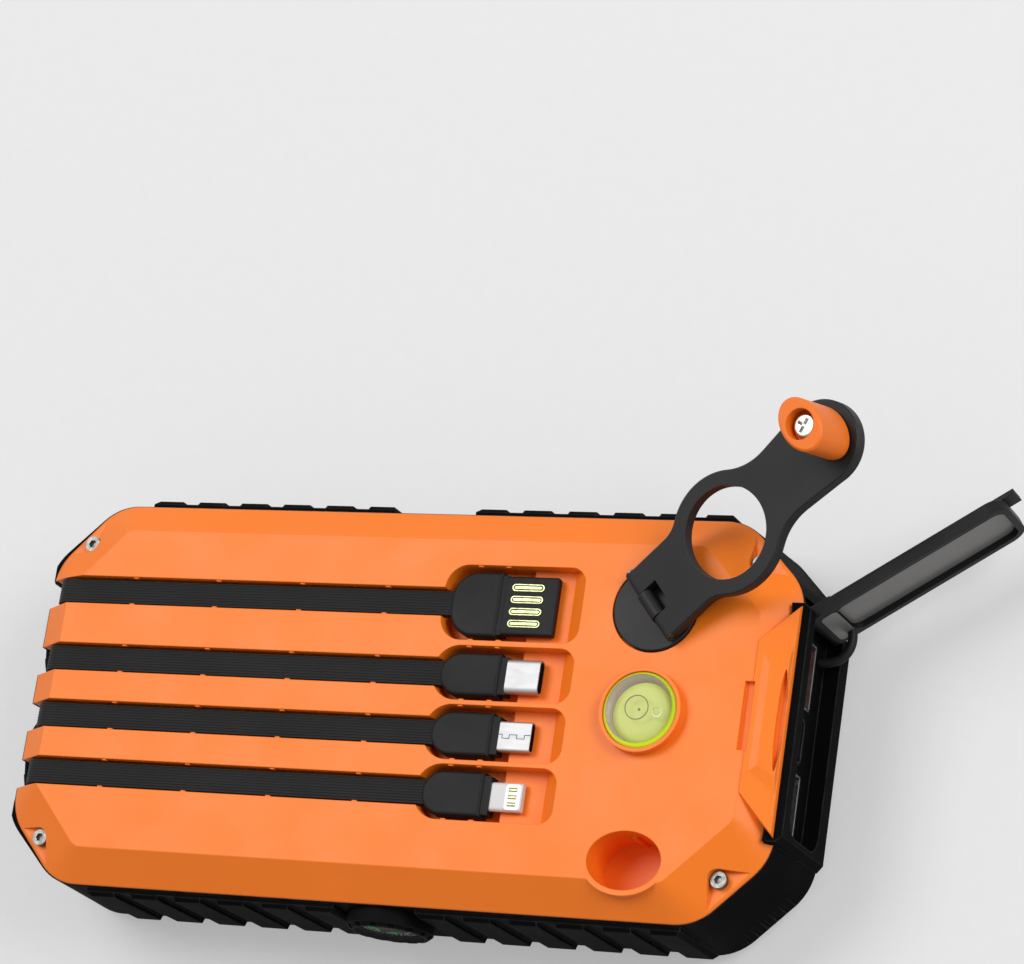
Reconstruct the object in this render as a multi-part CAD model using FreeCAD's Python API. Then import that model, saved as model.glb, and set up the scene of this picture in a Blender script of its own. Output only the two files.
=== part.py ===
import FreeCAD, Part
import math
import os

V = FreeCAD.Vector
X_AXIS, Y_AXIS, Z_AXIS = V(1, 0, 0), V(0, 1, 0), V(0, 0, 1)

# Hand crank power bank, lying on its solar face. Origin: middle of that face. +X towards the
# USB ports, -X towards the lamps, -Y towards the compass, +Z up to the crank. Millimetres.

# ---------------------------------------------------------------- clearances
fit_gap = 0.15             # between fixed mouldings
seat_gap = 0.02            # pressed or glued round parts, radial
running_gap = 0.05         # turning round parts, radial
face_gap = 0.3             # between faces that move past each other

# ---------------------------------------------------------------- casing
body_length = 166.0        # back shell along X, at its seam
body_width = 80.0          # back shell along Y, at its seam
body_height = 31.0         # solar face to the flat of the back
half_l, half_w = body_length / 2, body_width / 2
corner_cut = 13.5          # how far each corner is cut back along X and Y
corner_round = 11.0        # radius at the ends of each corner cut
seam_height = body_height - 5.3   # parting line of back shell and bumper
border_run = 6.7           # width of the sloping border of the back
lamp_end_inset = 1.2       # how far the back stops short at the lamp end
shell_wall = 1.6           # skirts of both shells
slab_bottom = body_height - 7.0   # underside of the back shell
skirt_bottom = body_height - 9.2  # lower end of the back shell's skirt
frame_skirt_top = 9.0      # upper end of the front frame's skirt

# ---------------------------------------------------------------- bumper
bumper_proud = 0.9         # how far the bumper stands out of the back shell
bumper_wall_x = 2.5        # bumper wall at the ends
bumper_wall_y = 3.1        # bumper wall on the long sides
bumper_bevel_run = 2.0     # bevel along the solar face
bumper_bevel_rise = 3.0
side_middle = 2.0          # grips, compass and power button are set about this X
bumper_lip = 3.2           # thickness of the bumper's flange over the front frame
grip_inner = 8.8           # grips start this far from the side's middle, along X
grip_outer = half_l - 18.8  # and end here
grip_proud = 0.9           # how far a grip stands out of the bumper
grip_overlap = 3.3         # how far a grip reaches over the front frame
grip_bevel_run = 5.0       # bevel on the outer edge of grips and end blocks
grip_bevel_rise = 3.5
grip_top = body_height - 6.2
groove_pitch = 9.75
groove_count = 5
groove_width = 3.9
groove_depth = 0.8
ridge_pitch = 2.3
ridge_count = 6
ridge_width = 0.9
ridge_depth = 0.6
cap_half = 23.4            # half width of the lamp block and of the port block, along Y
cap_proud = 2.1            # how far the lamp block stands out of the bumper, at the solar face
port_block_proud = 1.4     # how far the port block stands out of the bumper
port_block_top = body_height - 2.9
port_block_inner = half_l - 3.6  # inner wall of the port block

# ---------------------------------------------------------------- front
frame_plate = 3.0          # front frame plate
frame_floor_top = 4.8      # floor that carries battery and board
panel_recess = 0.25
panel_thickness = 1.2
panel_x0, panel_x1 = 11.8 - half_l, half_l - 16.3
panel_half = 29.0
panel_cut_lamp_end = 9.8
panel_cut_port_end = 2.0
light_x = half_l - 12.4
light_pitch = 7.65
light_count = 5
light_radius = 1.0

# ---------------------------------------------------------------- case screws
screw_x, screw_y = half_l - 9.5, half_w - 8.85
screw_shank = 1.0
screw_head = 1.65
screw_head_height = 1.4
screw_seat = body_height - 4.9
screw_post = 2.4
screw_length = 12.0

# ---------------------------------------------------------------- cables in the back
channel_width = 5.9
channel_floor = body_height - 3.1
ribbon_width = 5.1
ribbon_thickness = 1.6
ribbon_bend = 3.0          # centreline radius where a ribbon turns down into the case
ribbon_drop_x = lamp_end_inset + 3.4 - half_l  # centreline of the part that goes down
ribbon_lift = 0.4          # gap under a ribbon
pocket_x0 = 9.6            # plug pockets along X
pocket_x1 = 39.4
pocket_deep_x = 27.0       # the deep part ends here and the finger scoop starts
pocket_floor = body_height - 5.8
scoop_floor = body_height - 3.6
pocket_round = 3.3
nub_length = 1.0
nub_proud = 0.3
body_gap = 0.8             # from a plug body to its pocket's floor
plug_body_thickness = 4.2

# name, middle along Y, half width of pocket, radius at its cable end
CABLES = (
    ("usb_a", 20.4, 7.7, 4.8),
    ("usb_c", 6.1, 5.55, 5.5),
    ("micro_usb", -5.9, 5.55, 5.5),
    ("eight_pin", -17.9, 5.55, 5.5),
)
# plug body: start, end, half width, cable end radius; collar end, collar inset
PLUG_BODIES = {
    "usb_a": (10.9, 21.4, 6.6, 5.4, 22.2, 0.5),
    "usb_c": (10.8, 23.5, 4.35, 4.3, 25.0, 0.6),
    "micro_usb": (10.8, 23.7, 4.4, 4.3, 25.1, 0.6),
    "eight_pin": (10.8, 23.7, 4.45, 4.3, 25.1, 0.6),
}
# plug tip: length, width, thickness, edge radius, bore of a hollow shell (0 where solid)
PLUG_TIPS = {
    "usb_a": (11.0, 12.0, 2.0, 0.5, 0.0),
    "usb_c": (7.0, 6.9, 2.4, 1.1, 0.35),
    "micro_usb": (6.8, 6.0, 1.8, 0.5, 0.3),
    "eight_pin": (6.7, 5.8, 1.5, 0.7, 0.0),
}

# ---------------------------------------------------------------- crank
hub_x, hub_y = 54.7, 20.45
crank_azimuth = 40.0       # where the unfolded arm points, from +X
crank_tilt = 15.0          # how far the unfolded arm rises
hub_radius = 8.6
hub_proud = 0.3            # hub disc above the back
hub_thickness = 1.7
hub_shaft = 3.0
hub_shaft_bottom = slab_bottom - 8.6
pin_rise = 1.6             # hinge pin above the hub disc
pin_radius = 0.7
pin_head_radius = 1.0
pin_head = 0.4             # how far the pin's head stands out of the arm
knuckle_width = 5.6
knuckle_side_gap = 0.2
rest_pad_x = (4.6, 7.0)    # pad on the hub that the unfolded arm lies on, along the arm
rest_pad_half = 3.6
arm_thickness = 2.5
arm_hinge_half = 8.05
arm_notch = 3.9            # how far the notch for the knuckle reaches along the arm
ring_distance = 21.4
ring_radius = 9.1
ring_outer = 12.1
arm_waist = 11.8           # bar beside the ring
arm_end_distance = 47.3    # hinge pin to the middle of the arm's round end
arm_end = 8.3
arm_hinge_blend = 6.0      # fillets between hinge end and ring
arm_bar_blend = 11.5       # fillets between ring and bar
knob_distance = 49.8       # hinge pin to knob axis
knob_across = 11.8
knob_along = 8.2
knob_height = 10.6
knob_washer_radius = 3.2   # washer between knob and arm
knob_screw_radius = 1.5
knob_thread_radius = 1.2
knob_screw_head = 2.4
knob_counterbore = 3.0
knob_counterbore_depth = 3.2
bush_radius = 5.0
bush_bottom = slab_bottom - 0.8

# ---------------------------------------------------------------- level, stow hole, slot
level_x, level_y = 55.1, -0.3   # the ring of the folded arm goes round the level
level_radius = 7.6
level_boss = 8.4
level_boss_rise = 2.1
level_seat = body_height - 4.7
level_wall = 0.9
stow_x, stow_y = 55.3, -29.35   # as far from the hub as the knob
stow_along_x = 15.2
stow_along_y = 11.5
stow_floor = body_height - 10.8
stow_wall = 1.1
stow_rib_pitch = 4.3       # grip ribs on both long walls of the stow hole
stow_rib = 0.6
slot_x, slot_length, slot_width, slot_depth = half_l - 7.0, 13.5, 1.95, 1.2

# ---------------------------------------------------------------- gear train
gear_module = 0.8
wheel_teeth = 36
pinion_teeth = 12
gear_backlash = 0.22
gear_thickness, gear_step = 1.8, 2.0
gear_top = slab_bottom - 1.0
gear_layers = [(gear_top - i * gear_step - gear_thickness, gear_top - i * gear_step) for i in range(3)]
gear_plate_z = (slab_bottom - 9.0, slab_bottom - 7.2)
gear_plate_border = 8.0    # gear plate round the gear axes
gear_angles = (206.6, 253.4, 223.1)   # direction from each gear axis to the next
axle_radius = 1.0
case_radius = 8.5
case_wall = 1.0
case_bottom = 6.6
rotor_radius = 6.2
magnet_thickness = 1.0

# ---------------------------------------------------------------- ports and door
port_floor_x = half_l - 1.1
port_mouth = (7.9, body_height - 6.0)   # port recess along Z
port_y0, port_y1 = -21.2, 25.6
port_z = body_height / 2 + 0.3
port_round = 4.0
usb_a_y = (12.3, -13.7)
usb_c_y = -0.65
usb_a_size = (13.1, 5.6)
usb_a_depth = 14.0
usb_c_size = (8.94, 3.2)
usb_c_depth = 7.5
socket_wall = 0.35
door_pin_y = 22.0
door_thickness = 2.8
door_gap = 0.35
door_rim = 1.4
door_tray = 1.5
door_open = 124.0
door_pin_radius = 0.6
tab_length, tab_width, tab_thickness = 2.4, 5.0, 1.2
tab_z = 18.6

# ---------------------------------------------------------------- lamps, compass, button
lamp_pitch = 24.8
lamp_z = body_height / 2 - 1.4
lamp_face_x = half_l + 0.7  # lamp face, from the origin, at the lamps' height
lamp_tilt = 12.0           # how far the lamp face leans in towards the back
lamp_bezel = 9.4
lamp_bezel_height = 1.3
lamp_bezel_seat = 0.6
lamp_opening = 7.2
lamp_notches = 8
lamp_depth = 5.6
compass_x, compass_z = 2.0, body_height / 2 + 0.5
compass_bezel = 8.7
compass_seat = 1.1
compass_height = 4.0
compass_opening = 6.9
compass_notches = 14
button_x, button_z = 2.0, body_height / 2 - 0.5
button_length, button_width = 14.0, 6.4
button_proud = 0.8
button_travel = 0.8

# ---------------------------------------------------------------- battery and boards
cell_x0, cell_x1 = 13.0 - half_l, 6.0
cell_width, cell_height, cell_gap = 31.5, 15.6, 1.0
board_x0, board_x1, board_half = 9.0, half_l - 21.0, half_w - 5.5
board_thickness = 1.6

# ---------------------------------------------------------------- derived values
flat_l, flat_w = half_l - border_run, half_w - border_run
bumper_l, bumper_w = half_l + bumper_proud, half_w + bumper_proud
cavity_l, cavity_w = bumper_l - bumper_wall_x, bumper_w - bumper_wall_y
inner_l, inner_w = cavity_l - fit_gap, cavity_w - fit_gap
cap_face = bumper_l + cap_proud
lamp_rim_x = half_l - lamp_end_inset + 0.2   # bumper at the seam, at the lamp end
block_face = bumper_l + port_block_proud
grip_face = bumper_w + grip_proud
notch_w = cavity_w - grip_overlap
notch_l = cavity_l - grip_overlap
hub_top = body_height + hub_proud
pin_height = hub_top + pin_rise
gear_distance = gear_module * (wheel_teeth + pinion_teeth) / 2
board_top = frame_floor_top + board_thickness
ribbon_middle = channel_floor + ribbon_lift + ribbon_thickness / 2
bend_x = ribbon_drop_x + ribbon_bend
bend_z = ribbon_middle - ribbon_bend
door_pin_x = block_face - door_thickness / 2


# ---------------------------------------------------------------- shapes
def rounded_wire(points, radii):
    """Closed wire through plan points, each corner rounded with its own radius (0 keeps it sharp)."""
    count = len(points)
    tangents = []
    for i, (x, y) in enumerate(points):
        here = V(x, y, 0)
        to_last = (V(*points[i - 1], 0) - here).normalize()
        to_next = (V(*points[(i + 1) % count], 0) - here).normalize()
        if radii[i] <= 0:
            tangents.append((here, None, here))
            continue
        half = to_last.getAngle(to_next) / 2
        bisector = (to_last + to_next).normalize()
        back = radii[i] / math.tan(half)
        middle = here + bisector * (radii[i] / math.sin(half) - radii[i])
        tangents.append((here + to_last * back, middle, here + to_next * back))
    edges = []
    for i, (start, middle, end) in enumerate(tangents):
        if middle is not None:
            edges.append(Part.Arc(start, middle, end).toShape())
        following = tangents[(i + 1) % count][0]
        if end.distanceToPoint(following) > 1e-6:
            edges.append(Part.makeLine(end, following))
    return Part.Wire(edges)


def prism(points, low, high, radii=0.0):
    """Upright prism over plan points between two heights."""
    if not isinstance(radii, (list, tuple)):
        radii = [radii] * len(points)
    wire = rounded_wire(points, radii)
    wire.translate(V(0, 0, low))
    return Part.Face(wire).extrude(V(0, 0, high - low))


def octagon_points(half_x, half_y, cut, lamp_inset=0.0):
    lamp_x = lamp_inset - half_x
    return [
        (half_x, -half_y + cut), (half_x, half_y - cut), (half_x - cut, half_y), (-half_x + cut, half_y),
        (lamp_x, half_y - cut), (lamp_x, -half_y + cut), (-half_x + cut, -half_y), (half_x - cut, -half_y),
    ]


def corner_at(half_x, half_y):
    """Corner cut and radius that keep an inset outline parallel to the casing's own."""
    inset = (half_l - half_x) + (half_w - half_y)
    return corner_cut - (1 - math.sqrt(0.5)) * inset, corner_round - inset / 2


def octagon(half_x, half_y, low, high):
    """Prism with the casing's outline at the given half sizes."""
    cut, radius = corner_at(half_x, half_y)
    return prism(octagon_points(half_x, half_y, cut), low, high, radius)


def octagon_loft(lower, upper, lamp_inset=0.0):
    """Ruled solid between two casing outlines, each given as (half x, half y, cut, radius, height)."""
    wires = []
    for half_x, half_y, cut, radius, height in (lower, upper):
        wire = rounded_wire(octagon_points(half_x, half_y, cut, lamp_inset), [radius] * 8)
        wire.translate(V(0, 0, height))
        wires.append(wire)
    return Part.makeLoft(wires, True, True)


def box(x0, x1, y0, y1, z0, z1):
    return Part.makeBox(x1 - x0, y1 - y0, z1 - z0, V(x0, y0, z0))


def cylinder(radius, base, direction, length):
    return Part.makeCylinder(radius, length, V(*base), direction)


def tube(outer, inner, base, direction, length):
    return cylinder(outer, base, direction, length).cut(cylinder(inner, base, direction, length))


def side_prism(points, y0, y1):
    """Prism along Y over (x, z) points."""
    wire = Part.makePolygon([V(x, y0, z) for x, z in points + [points[0]]])
    return Part.Face(wire).extrude(V(0, y1 - y0, 0))


def cross_prism(points, x0, x1):
    """Prism along X over (y, z) points."""
    wire = Part.makePolygon([V(x0, y, z) for y, z in points + [points[0]]])
    return Part.Face(wire).extrude(V(x1 - x0, 0, 0))


def oval(along_x, along_y, low, high, x=0.0, y=0.0):
    """Elliptical cylinder with its middle at x, y."""
    major, minor = max(along_x, along_y) / 2, min(along_x, along_y) / 2
    ellipse = Part.Ellipse(V(0, 0, 0), major, minor).toShape()
    if along_y > along_x:
        ellipse.rotate(V(0, 0, 0), Z_AXIS, 90)
    solid = Part.Face(Part.Wire([ellipse])).extrude(V(0, 0, high - low))
    solid.translate(V(x, y, low))
    return solid


def mirrored_y(shape):
    return shape.mirror(V(0, 0, 0), Y_AXIS)


def mirrored_x(shape):
    return shape.mirror(V(0, 0, 0), X_AXIS)


def fused(shapes):
    """One solid from shapes that overlap or touch."""
    whole = shapes[0].multiFuse(shapes[1:]) if len(shapes) > 1 else shapes[0]
    return whole.removeSplitter()


def save(name, shape):
    """Write one node; a node of several like pieces keeps them as separate solids."""
    bad = [s for s in shape.Solids if not s.isValid()]
    print(f"{name:22s} solids {len(shape.Solids)} volume {shape.Volume:10.2f}" + (" INVALID" if bad else ""))
    shape.exportStep(f"parts/{name}.step")


def group(shapes):
    return Part.makeCompound(shapes)


def screw_places():
    return [(sx * screw_x, sy * screw_y) for sx in (-1, 1) for sy in (-1, 1)]


def on_crank(shape):
    """Carry a shape from the arm's own frame (pin at origin, arm along +X) to its place on the hub."""
    shape = shape.copy()
    shape.rotate(V(0, 0, 0), Y_AXIS, -crank_tilt)
    shape.rotate(V(0, 0, 0), Z_AXIS, crank_azimuth)
    shape.translate(V(hub_x, hub_y, pin_height))
    return shape


# ---------------------------------------------------------------- front frame and solar panel
def flange_notches(gap):
    """Where the bumper's flanges reach over the front frame: four grips and two end blocks."""
    reach = 1.0
    step_x, step_y = cavity_l - notch_l, cavity_w - notch_w
    grip = [
        (grip_inner - gap - reach, cavity_w + reach), (grip_inner - gap + step_y, notch_w - gap),
        (grip_outer + gap - step_y, notch_w - gap), (grip_outer + gap + reach, cavity_w + reach),
    ]
    end_half = cap_half + gap
    end = [
        (cavity_l + reach, -end_half - reach), (notch_l - gap, -end_half + step_x),
        (notch_l - gap, end_half - step_x), (cavity_l + reach, end_half + reach),
    ]
    grips = [[(side_middle + sx * x, sy * y) for x, y in grip] for sx in (-1, 1) for sy in (-1, 1)]
    ends = [[(sx * x, y) for x, y in end] for sx in (-1, 1)]
    return group([prism(plan, -2, bumper_lip + 1) for plan in grips + ends])


def panel_points(margin=0.0):
    x0, x1, half = panel_x0 - margin, panel_x1 + margin, panel_half + margin
    far, near = panel_cut_lamp_end, panel_cut_port_end
    return [
        (x1, -half + near), (x1, half - near), (x1 - near, half), (x0 + far, half),
        (x0, half - far), (x0, -half + far), (x0 + far, -half), (x1 - near, -half),
    ]


def front_dimple(sx, sy):
    """Three-sided hollow in a front corner, deepest at its inner corner."""
    leg, depth = 9.8, 1.3
    reach_x, reach_y = inner_l - 4.3, inner_w - 4.1
    inner = (sx * (reach_x - leg + 3.2), sy * (reach_y - leg + 3.2))
    along_x = (inner[0] + sx * leg * 1.15, inner[1])
    along_y = (inner[0], inner[1] + sy * leg * 1.15)
    floor = [V(inner[0], inner[1], depth), V(*along_x, -0.1), V(*along_y, -0.1)]
    mouth = [V(inner[0], inner[1], -1), V(*along_x, -1), V(*along_y, -1)]
    faces = [Part.Face(Part.makePolygon(ring + [ring[0]])) for ring in (floor, mouth)]
    for i in range(3):
        j = (i + 1) % 3
        ring = [floor[i], floor[j], mouth[j], mouth[i]]
        faces.append(Part.Face(Part.makePolygon(ring + [ring[0]])))
    return Part.makeSolid(Part.makeShell(faces))


def light_places():
    first = -(light_count - 1) / 2 * light_pitch
    return [(light_x, first + i * light_pitch) for i in range(light_count)]


def make_front_frame():
    plate = octagon(inner_l, inner_w, 0, frame_plate).cut(flange_notches(fit_gap))
    core = octagon(notch_l - 1.0, notch_w - 1.0, frame_plate, bumper_lip + fit_gap)
    floor = octagon(inner_l, inner_w, bumper_lip + fit_gap, frame_floor_top)
    skirt = octagon(inner_l, inner_w, frame_floor_top, frame_skirt_top)
    skirt = skirt.cut(octagon(inner_l - shell_wall, inner_w - shell_wall, frame_floor_top, frame_skirt_top))
    block = box(
        port_block_inner - fit_gap, inner_l + 1, -cap_half - fit_gap, cap_half + fit_gap,
        frame_floor_top, frame_skirt_top,
    )
    posts = [cylinder(screw_post, (x, y, frame_plate), Z_AXIS, slab_bottom - frame_plate) for x, y in screw_places()]
    frame = fused([plate, core, floor, skirt.cut(block)] + posts)
    tools = [prism(panel_points(fit_gap), -1, panel_recess + panel_thickness + 0.05)]
    label_depth = 0.35
    label = [
        (panel_x1 - 1, -panel_half + 2), (panel_x1 + 6.9, -panel_half + 9.6),
        (panel_x1 + 6.9, panel_half - 9.6), (panel_x1 - 1, panel_half - 2),
    ]
    tools.append(prism(label, -1, label_depth))
    tools += [front_dimple(sx, sy) for sx in (-1, 1) for sy in (-1, 1)]
    tools += [cylinder(light_radius + seat_gap, (x, y, -1), Z_AXIS, 9) for x, y in light_places()]
    for x, y in screw_places():
        tools.append(cylinder(screw_shank + seat_gap, (x, y, screw_seat - screw_length - 0.3), Z_AXIS, screw_length))
    tools += [to_lamp(cylinder(lamp_opening + 1.0, (0, 0, -5.9), Z_AXIS, 9), y) for y in lamp_places()]
    return frame.cut(group(tools))


def make_solar_panel():
    return prism(panel_points(), panel_recess, panel_recess + panel_thickness)


def make_light_pipes():
    top = frame_floor_top + 0.6
    return group([cylinder(light_radius, (x, y, 0.3), Z_AXIS, top) for x, y in light_places()])


# ---------------------------------------------------------------- bumper
def grip_plan(outer):
    """One grip seen from above, on the +Y side and +X half; outer is its furthest Y."""
    step = cavity_w - notch_w
    return [
        (grip_inner, cavity_w), (grip_inner + step, notch_w), (grip_outer - step, notch_w),
        (grip_outer, cavity_w), (grip_outer, bumper_w), (grip_outer - (outer - bumper_w), outer),
        (grip_inner + (outer - bumper_w), outer), (grip_inner, bumper_w),
    ]


def grip_grooves():
    """Cross grooves of one grip; each runs up the side and ends round on the bevel."""
    middle = (grip_inner + grip_outer) / 2
    floor_y = grip_face - groove_depth
    bevel_y = grip_face - grip_bevel_run
    profile = [
        (bevel_y + 0.8, -1), (bevel_y + 0.8, 0.9), (floor_y, grip_bevel_rise + 0.8),
        (floor_y, grip_top + 1), (grip_face + 1, grip_top + 1), (grip_face + 1, -1),
    ]
    tools = []
    for i in range(groove_count):
        x = middle + (i - (groove_count - 1) / 2) * groove_pitch
        half = groove_width / 2
        plan = prism([(x - half, bevel_y + 0.8), (x + half, bevel_y + 0.8), (x + half, grip_face + 2),
                      (x - half, grip_face + 2)], -2, grip_top + 2, [half * 0.98, half * 0.98, 0, 0])
        tools.append(cross_prism(profile, x - half - 1, x + half + 1).common(plan))
    return tools


def make_grip():
    """Grip on the +Y side, +X half, with bevel and grooves."""
    lip = prism(grip_plan(grip_face), 0, bumper_lip)
    side_plan = [(x, max(y, cavity_w)) for x, y in grip_plan(grip_face)]
    side_plan = [side_plan[0], side_plan[3]] + side_plan[4:]
    side = prism(side_plan, 0, grip_top)
    grip = fused([lip, side])
    bevel_start = grip_face - grip_bevel_run
    slope = grip_bevel_rise / grip_bevel_run
    bevel = cross_prism(
        [(bevel_start, 0), (grip_face + 2, (grip_bevel_run + 2) * slope), (grip_face + 2, -1), (bevel_start, -1)],
        0, body_length,
    )
    top = cross_prism(
        [(grip_face - 0.9, grip_top + 0.1), (grip_face + 0.1, grip_top - 0.9), (grip_face + 1, grip_top + 1)],
        0, body_length,
    )
    return grip, [bevel, top] + grip_grooves()


def end_block_plan(face, inner_x):
    """Lamp or port block seen from above, on the +X side."""
    step = cavity_l - notch_l
    bevel = 1.2
    return [
        (cavity_l, -cap_half), (bumper_l, -cap_half), (face, -cap_half + bevel), (face, cap_half - bevel),
        (bumper_l, cap_half), (cavity_l, cap_half), (inner_x, cap_half - step), (inner_x, -cap_half + step),
    ]


def end_bevel(face):
    slope = grip_bevel_rise / grip_bevel_run
    start = face - grip_bevel_run
    return side_prism([(start, 0), (face + 2, (grip_bevel_run + 2) * slope), (face + 2, -1), (start, -1)],
                      -half_w - 5, half_w + 5)


def corner_ridges():
    """Fine upright grooves across each cut corner."""
    outline = bumper_l + bumper_w - corner_cut
    middle_x = bumper_l - corner_cut / 2
    middle_y = outline - middle_x
    tools = []
    for i in range(ridge_count):
        shift = (i - (ridge_count - 1) / 2) * ridge_pitch / math.sqrt(2)
        tool = box(-ridge_width / 2, ridge_width / 2, -ridge_depth, ridge_depth, 3.0, seam_height)
        tool.rotate(V(0, 0, 0), Z_AXIS, -45)
        tool.translate(V(middle_x + shift, middle_y - shift, 0))
        tools.append(tool)
    tools += [mirrored_x(t) for t in tools]
    return tools + [mirrored_y(t) for t in tools]


def about_side_middle(shapes):
    """Copies of the +Y, +X grip's shapes for all four grips, moved to the sides' middle."""
    four = shapes + [mirrored_x(s) for s in shapes]
    four += [mirrored_y(s) for s in four]
    moved = [s.copy() for s in four]
    for shape in moved:
        shape.translate(V(side_middle, 0, 0))
    return moved


def make_bumper_frame():
    full = (bumper_l, bumper_w) + corner_at(bumper_l, bumper_w)
    edge_l, edge_w = bumper_l - bumper_bevel_run, bumper_w - bumper_bevel_run
    edge = (edge_l, edge_w) + corner_at(edge_l, edge_w) + (0,)
    rim = (half_l + 0.1, half_w + 0.1) + corner_at(half_l + 0.1, half_w + 0.1) + (seam_height - fit_gap,)
    band = fused([octagon_loft(edge, full + (bumper_bevel_rise,)), octagon_loft(full + (bumper_bevel_rise,), rim)])
    grip, grip_tools = make_grip()
    grips, grip_tools = about_side_middle([grip]), about_side_middle(grip_tools)
    lamp_block = mirrored_x(prism(end_block_plan(cap_face, notch_l), 0, seam_height - fit_gap))
    port_block = prism(end_block_plan(block_face, notch_l), 0, port_block_top)
    cavity = octagon(cavity_l, cavity_w, bumper_lip, seam_height + 5)
    outer = fused([band, lamp_block, port_block] + grips)
    opening = octagon(cavity_l, cavity_w, -1, bumper_lip).cut(flange_notches(0))
    outer = outer.cut(cavity).cut(opening)
    inner_wall = box(port_block_inner, cavity_l + 0.5, -cap_half + 0.6, cap_half - 0.6, 5.0, slab_bottom - fit_gap)
    outer = fused([outer, inner_wall])
    tools = grip_tools + corner_ridges()
    tools += [end_bevel(block_face), mirrored_x(end_bevel(cap_face))]
    tools += port_cuts() + lamp_end_cuts() + lamp_cuts() + side_cuts()
    tools += [cylinder(screw_post + fit_gap, (x, y, bumper_lip - 0.4), Z_AXIS, slab_bottom) for x, y in screw_places()]
    solid = outer
    for tool in tools:
        solid = solid.cut(tool)
    return solid


def port_cuts():
    """Recess behind the door, its hinge side, the three socket holes, pin holes and finger notch."""
    low, high = port_mouth
    recess = cross_prism_rounded(port_y0, port_y1, low, high, port_round, port_floor_x, block_face + 2)
    hinge = box(port_floor_x, block_face + 2, door_pin_y - 3.5, port_y1, low, high)
    relief = prism([(door_pin_x - 0.6, door_pin_y + 2.2), (block_face + 3, door_pin_y + 2.2),
                    (block_face + 3, door_pin_y + 5.4), (block_face - 0.6, door_pin_y + 5.4)], low, high)
    tools = [recess, hinge, relief]
    reach = block_face - port_block_inner + 4
    for y in usb_a_y:
        tools.append(socket_prism(usb_a_size, 0.5, y, port_block_inner - 1, reach, fit_gap))
    tools.append(socket_prism(usb_c_size, usb_c_size[1] / 2 - 0.05, usb_c_y, port_block_inner - 1, reach, fit_gap))
    tools.append(cylinder(door_pin_radius + seat_gap, (door_pin_x, door_pin_y, low - 1.2), Z_AXIS, high - low + 2.4))
    return tools


def cross_prism_rounded(y0, y1, z0, z1, radius, x0, x1):
    """Rounded rectangle in the YZ plane, pushed along X."""
    wire = rounded_wire([(y0, z0), (y1, z0), (y1, z1), (y0, z1)], [radius] * 4)
    face = Part.Face(wire)
    face.rotate(V(0, 0, 0), V(1, 1, 1), 120)
    face.translate(V(x0, 0, 0))
    return face.extrude(V(x1 - x0, 0, 0))


def socket_prism(size, radius, y, x0, length, grow=0.0):
    """Bar with a socket's outline, along X, at the ports' height."""
    half_y, half_z = size[0] / 2 + grow, size[1] / 2 + grow
    return cross_prism_rounded(y - half_y, y + half_y, port_z - half_z, port_z + half_z, radius, x0, x0 + length)


def lamp_places():
    return [-lamp_pitch / 2, lamp_pitch / 2]


def lamp_end_cuts():
    """Bevel that tucks the bumper under the back at the lamp end, the leaning lamp face and the cable slots."""
    above, slope = seam_height + 1, 0.45
    bevel = side_prism([
        (slope - lamp_rim_x, above), (-lamp_rim_x - 6 * slope, seam_height - 6),
        (-cap_face - 5, seam_height - 6), (-cap_face - 5, above),
    ], -half_w - 5, half_w + 5)
    lean = math.tan(math.radians(lamp_tilt))
    lean_top = lamp_z + (lamp_face_x - lamp_rim_x) / lean
    face = side_prism([
        (-lamp_face_x - (lamp_z + 1) * lean, -1), (-lamp_rim_x, lean_top), (-lamp_rim_x, above),
        (-cap_face - 5, above), (-cap_face - 5, -1),
    ], -cap_half, cap_half)
    slots = [box(-cap_face - 5, 0.3 - cavity_l, y - channel_width / 2, y + channel_width / 2, skirt_bottom - 0.4, above)
             for name, y, half, cable_round in CABLES]
    return [bevel, face] + slots


def lamp_cuts():
    tools = []
    for y in lamp_places():
        tools.append(to_lamp(cylinder(lamp_bezel + fit_gap, (0, 0, 0), Z_AXIS, 6), y))
        tools.append(to_lamp(cylinder(lamp_bezel - 1.0 + fit_gap, (0, 0, -lamp_bezel_seat), Z_AXIS, 3), y))
        tools.append(to_lamp(cylinder(lamp_opening + 0.6 + fit_gap, (0, 0, -6), Z_AXIS, 8), y))
    return tools


def side_cuts():
    """Seat of the compass on the -Y side and hole of the power button on the +Y side."""
    seat = cylinder(compass_bezel + fit_gap, (compass_x, -bumper_w - 5, compass_z), Y_AXIS, 5 + compass_seat)
    hole = button_prism(cavity_w - 2, bumper_w + 3, face_gap)
    return [seat, hole]


# ---------------------------------------------------------------- back shell
def channel_tool(y):
    """Cable channel along X that turns down over a rounded edge and opens through the lamp end."""
    edge = ribbon_bend - ribbon_thickness / 2 - ribbon_lift
    left = bend_x - edge
    half = channel_width / 2
    profile = [
        V(pocket_x0 + 3, 0, channel_floor), V(pocket_x0 + 3, 0, body_height + 3), V(-half_l - 2, 0, body_height + 3),
        V(-half_l - 2, 0, seam_height - 0.6), V(left, 0, seam_height - 0.6), V(left, 0, bend_z),
    ]
    corner = V(bend_x - edge * math.cos(math.pi / 4), 0, bend_z + edge * math.sin(math.pi / 4))
    edges = [Part.makeLine(a, b) for a, b in zip(profile, profile[1:])]
    edges.append(Part.Arc(profile[-1], corner, V(bend_x, 0, channel_floor)).toShape())
    edges.append(Part.makeLine(V(bend_x, 0, channel_floor), profile[0]))
    face = Part.Face(Part.Wire(edges))
    face.translate(V(0, y - half, 0))
    drop = box(-half_l - 2, left, y - half, y + half, skirt_bottom - 1, seam_height)
    return face.extrude(V(0, channel_width, 0)).fuse(drop)


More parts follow.
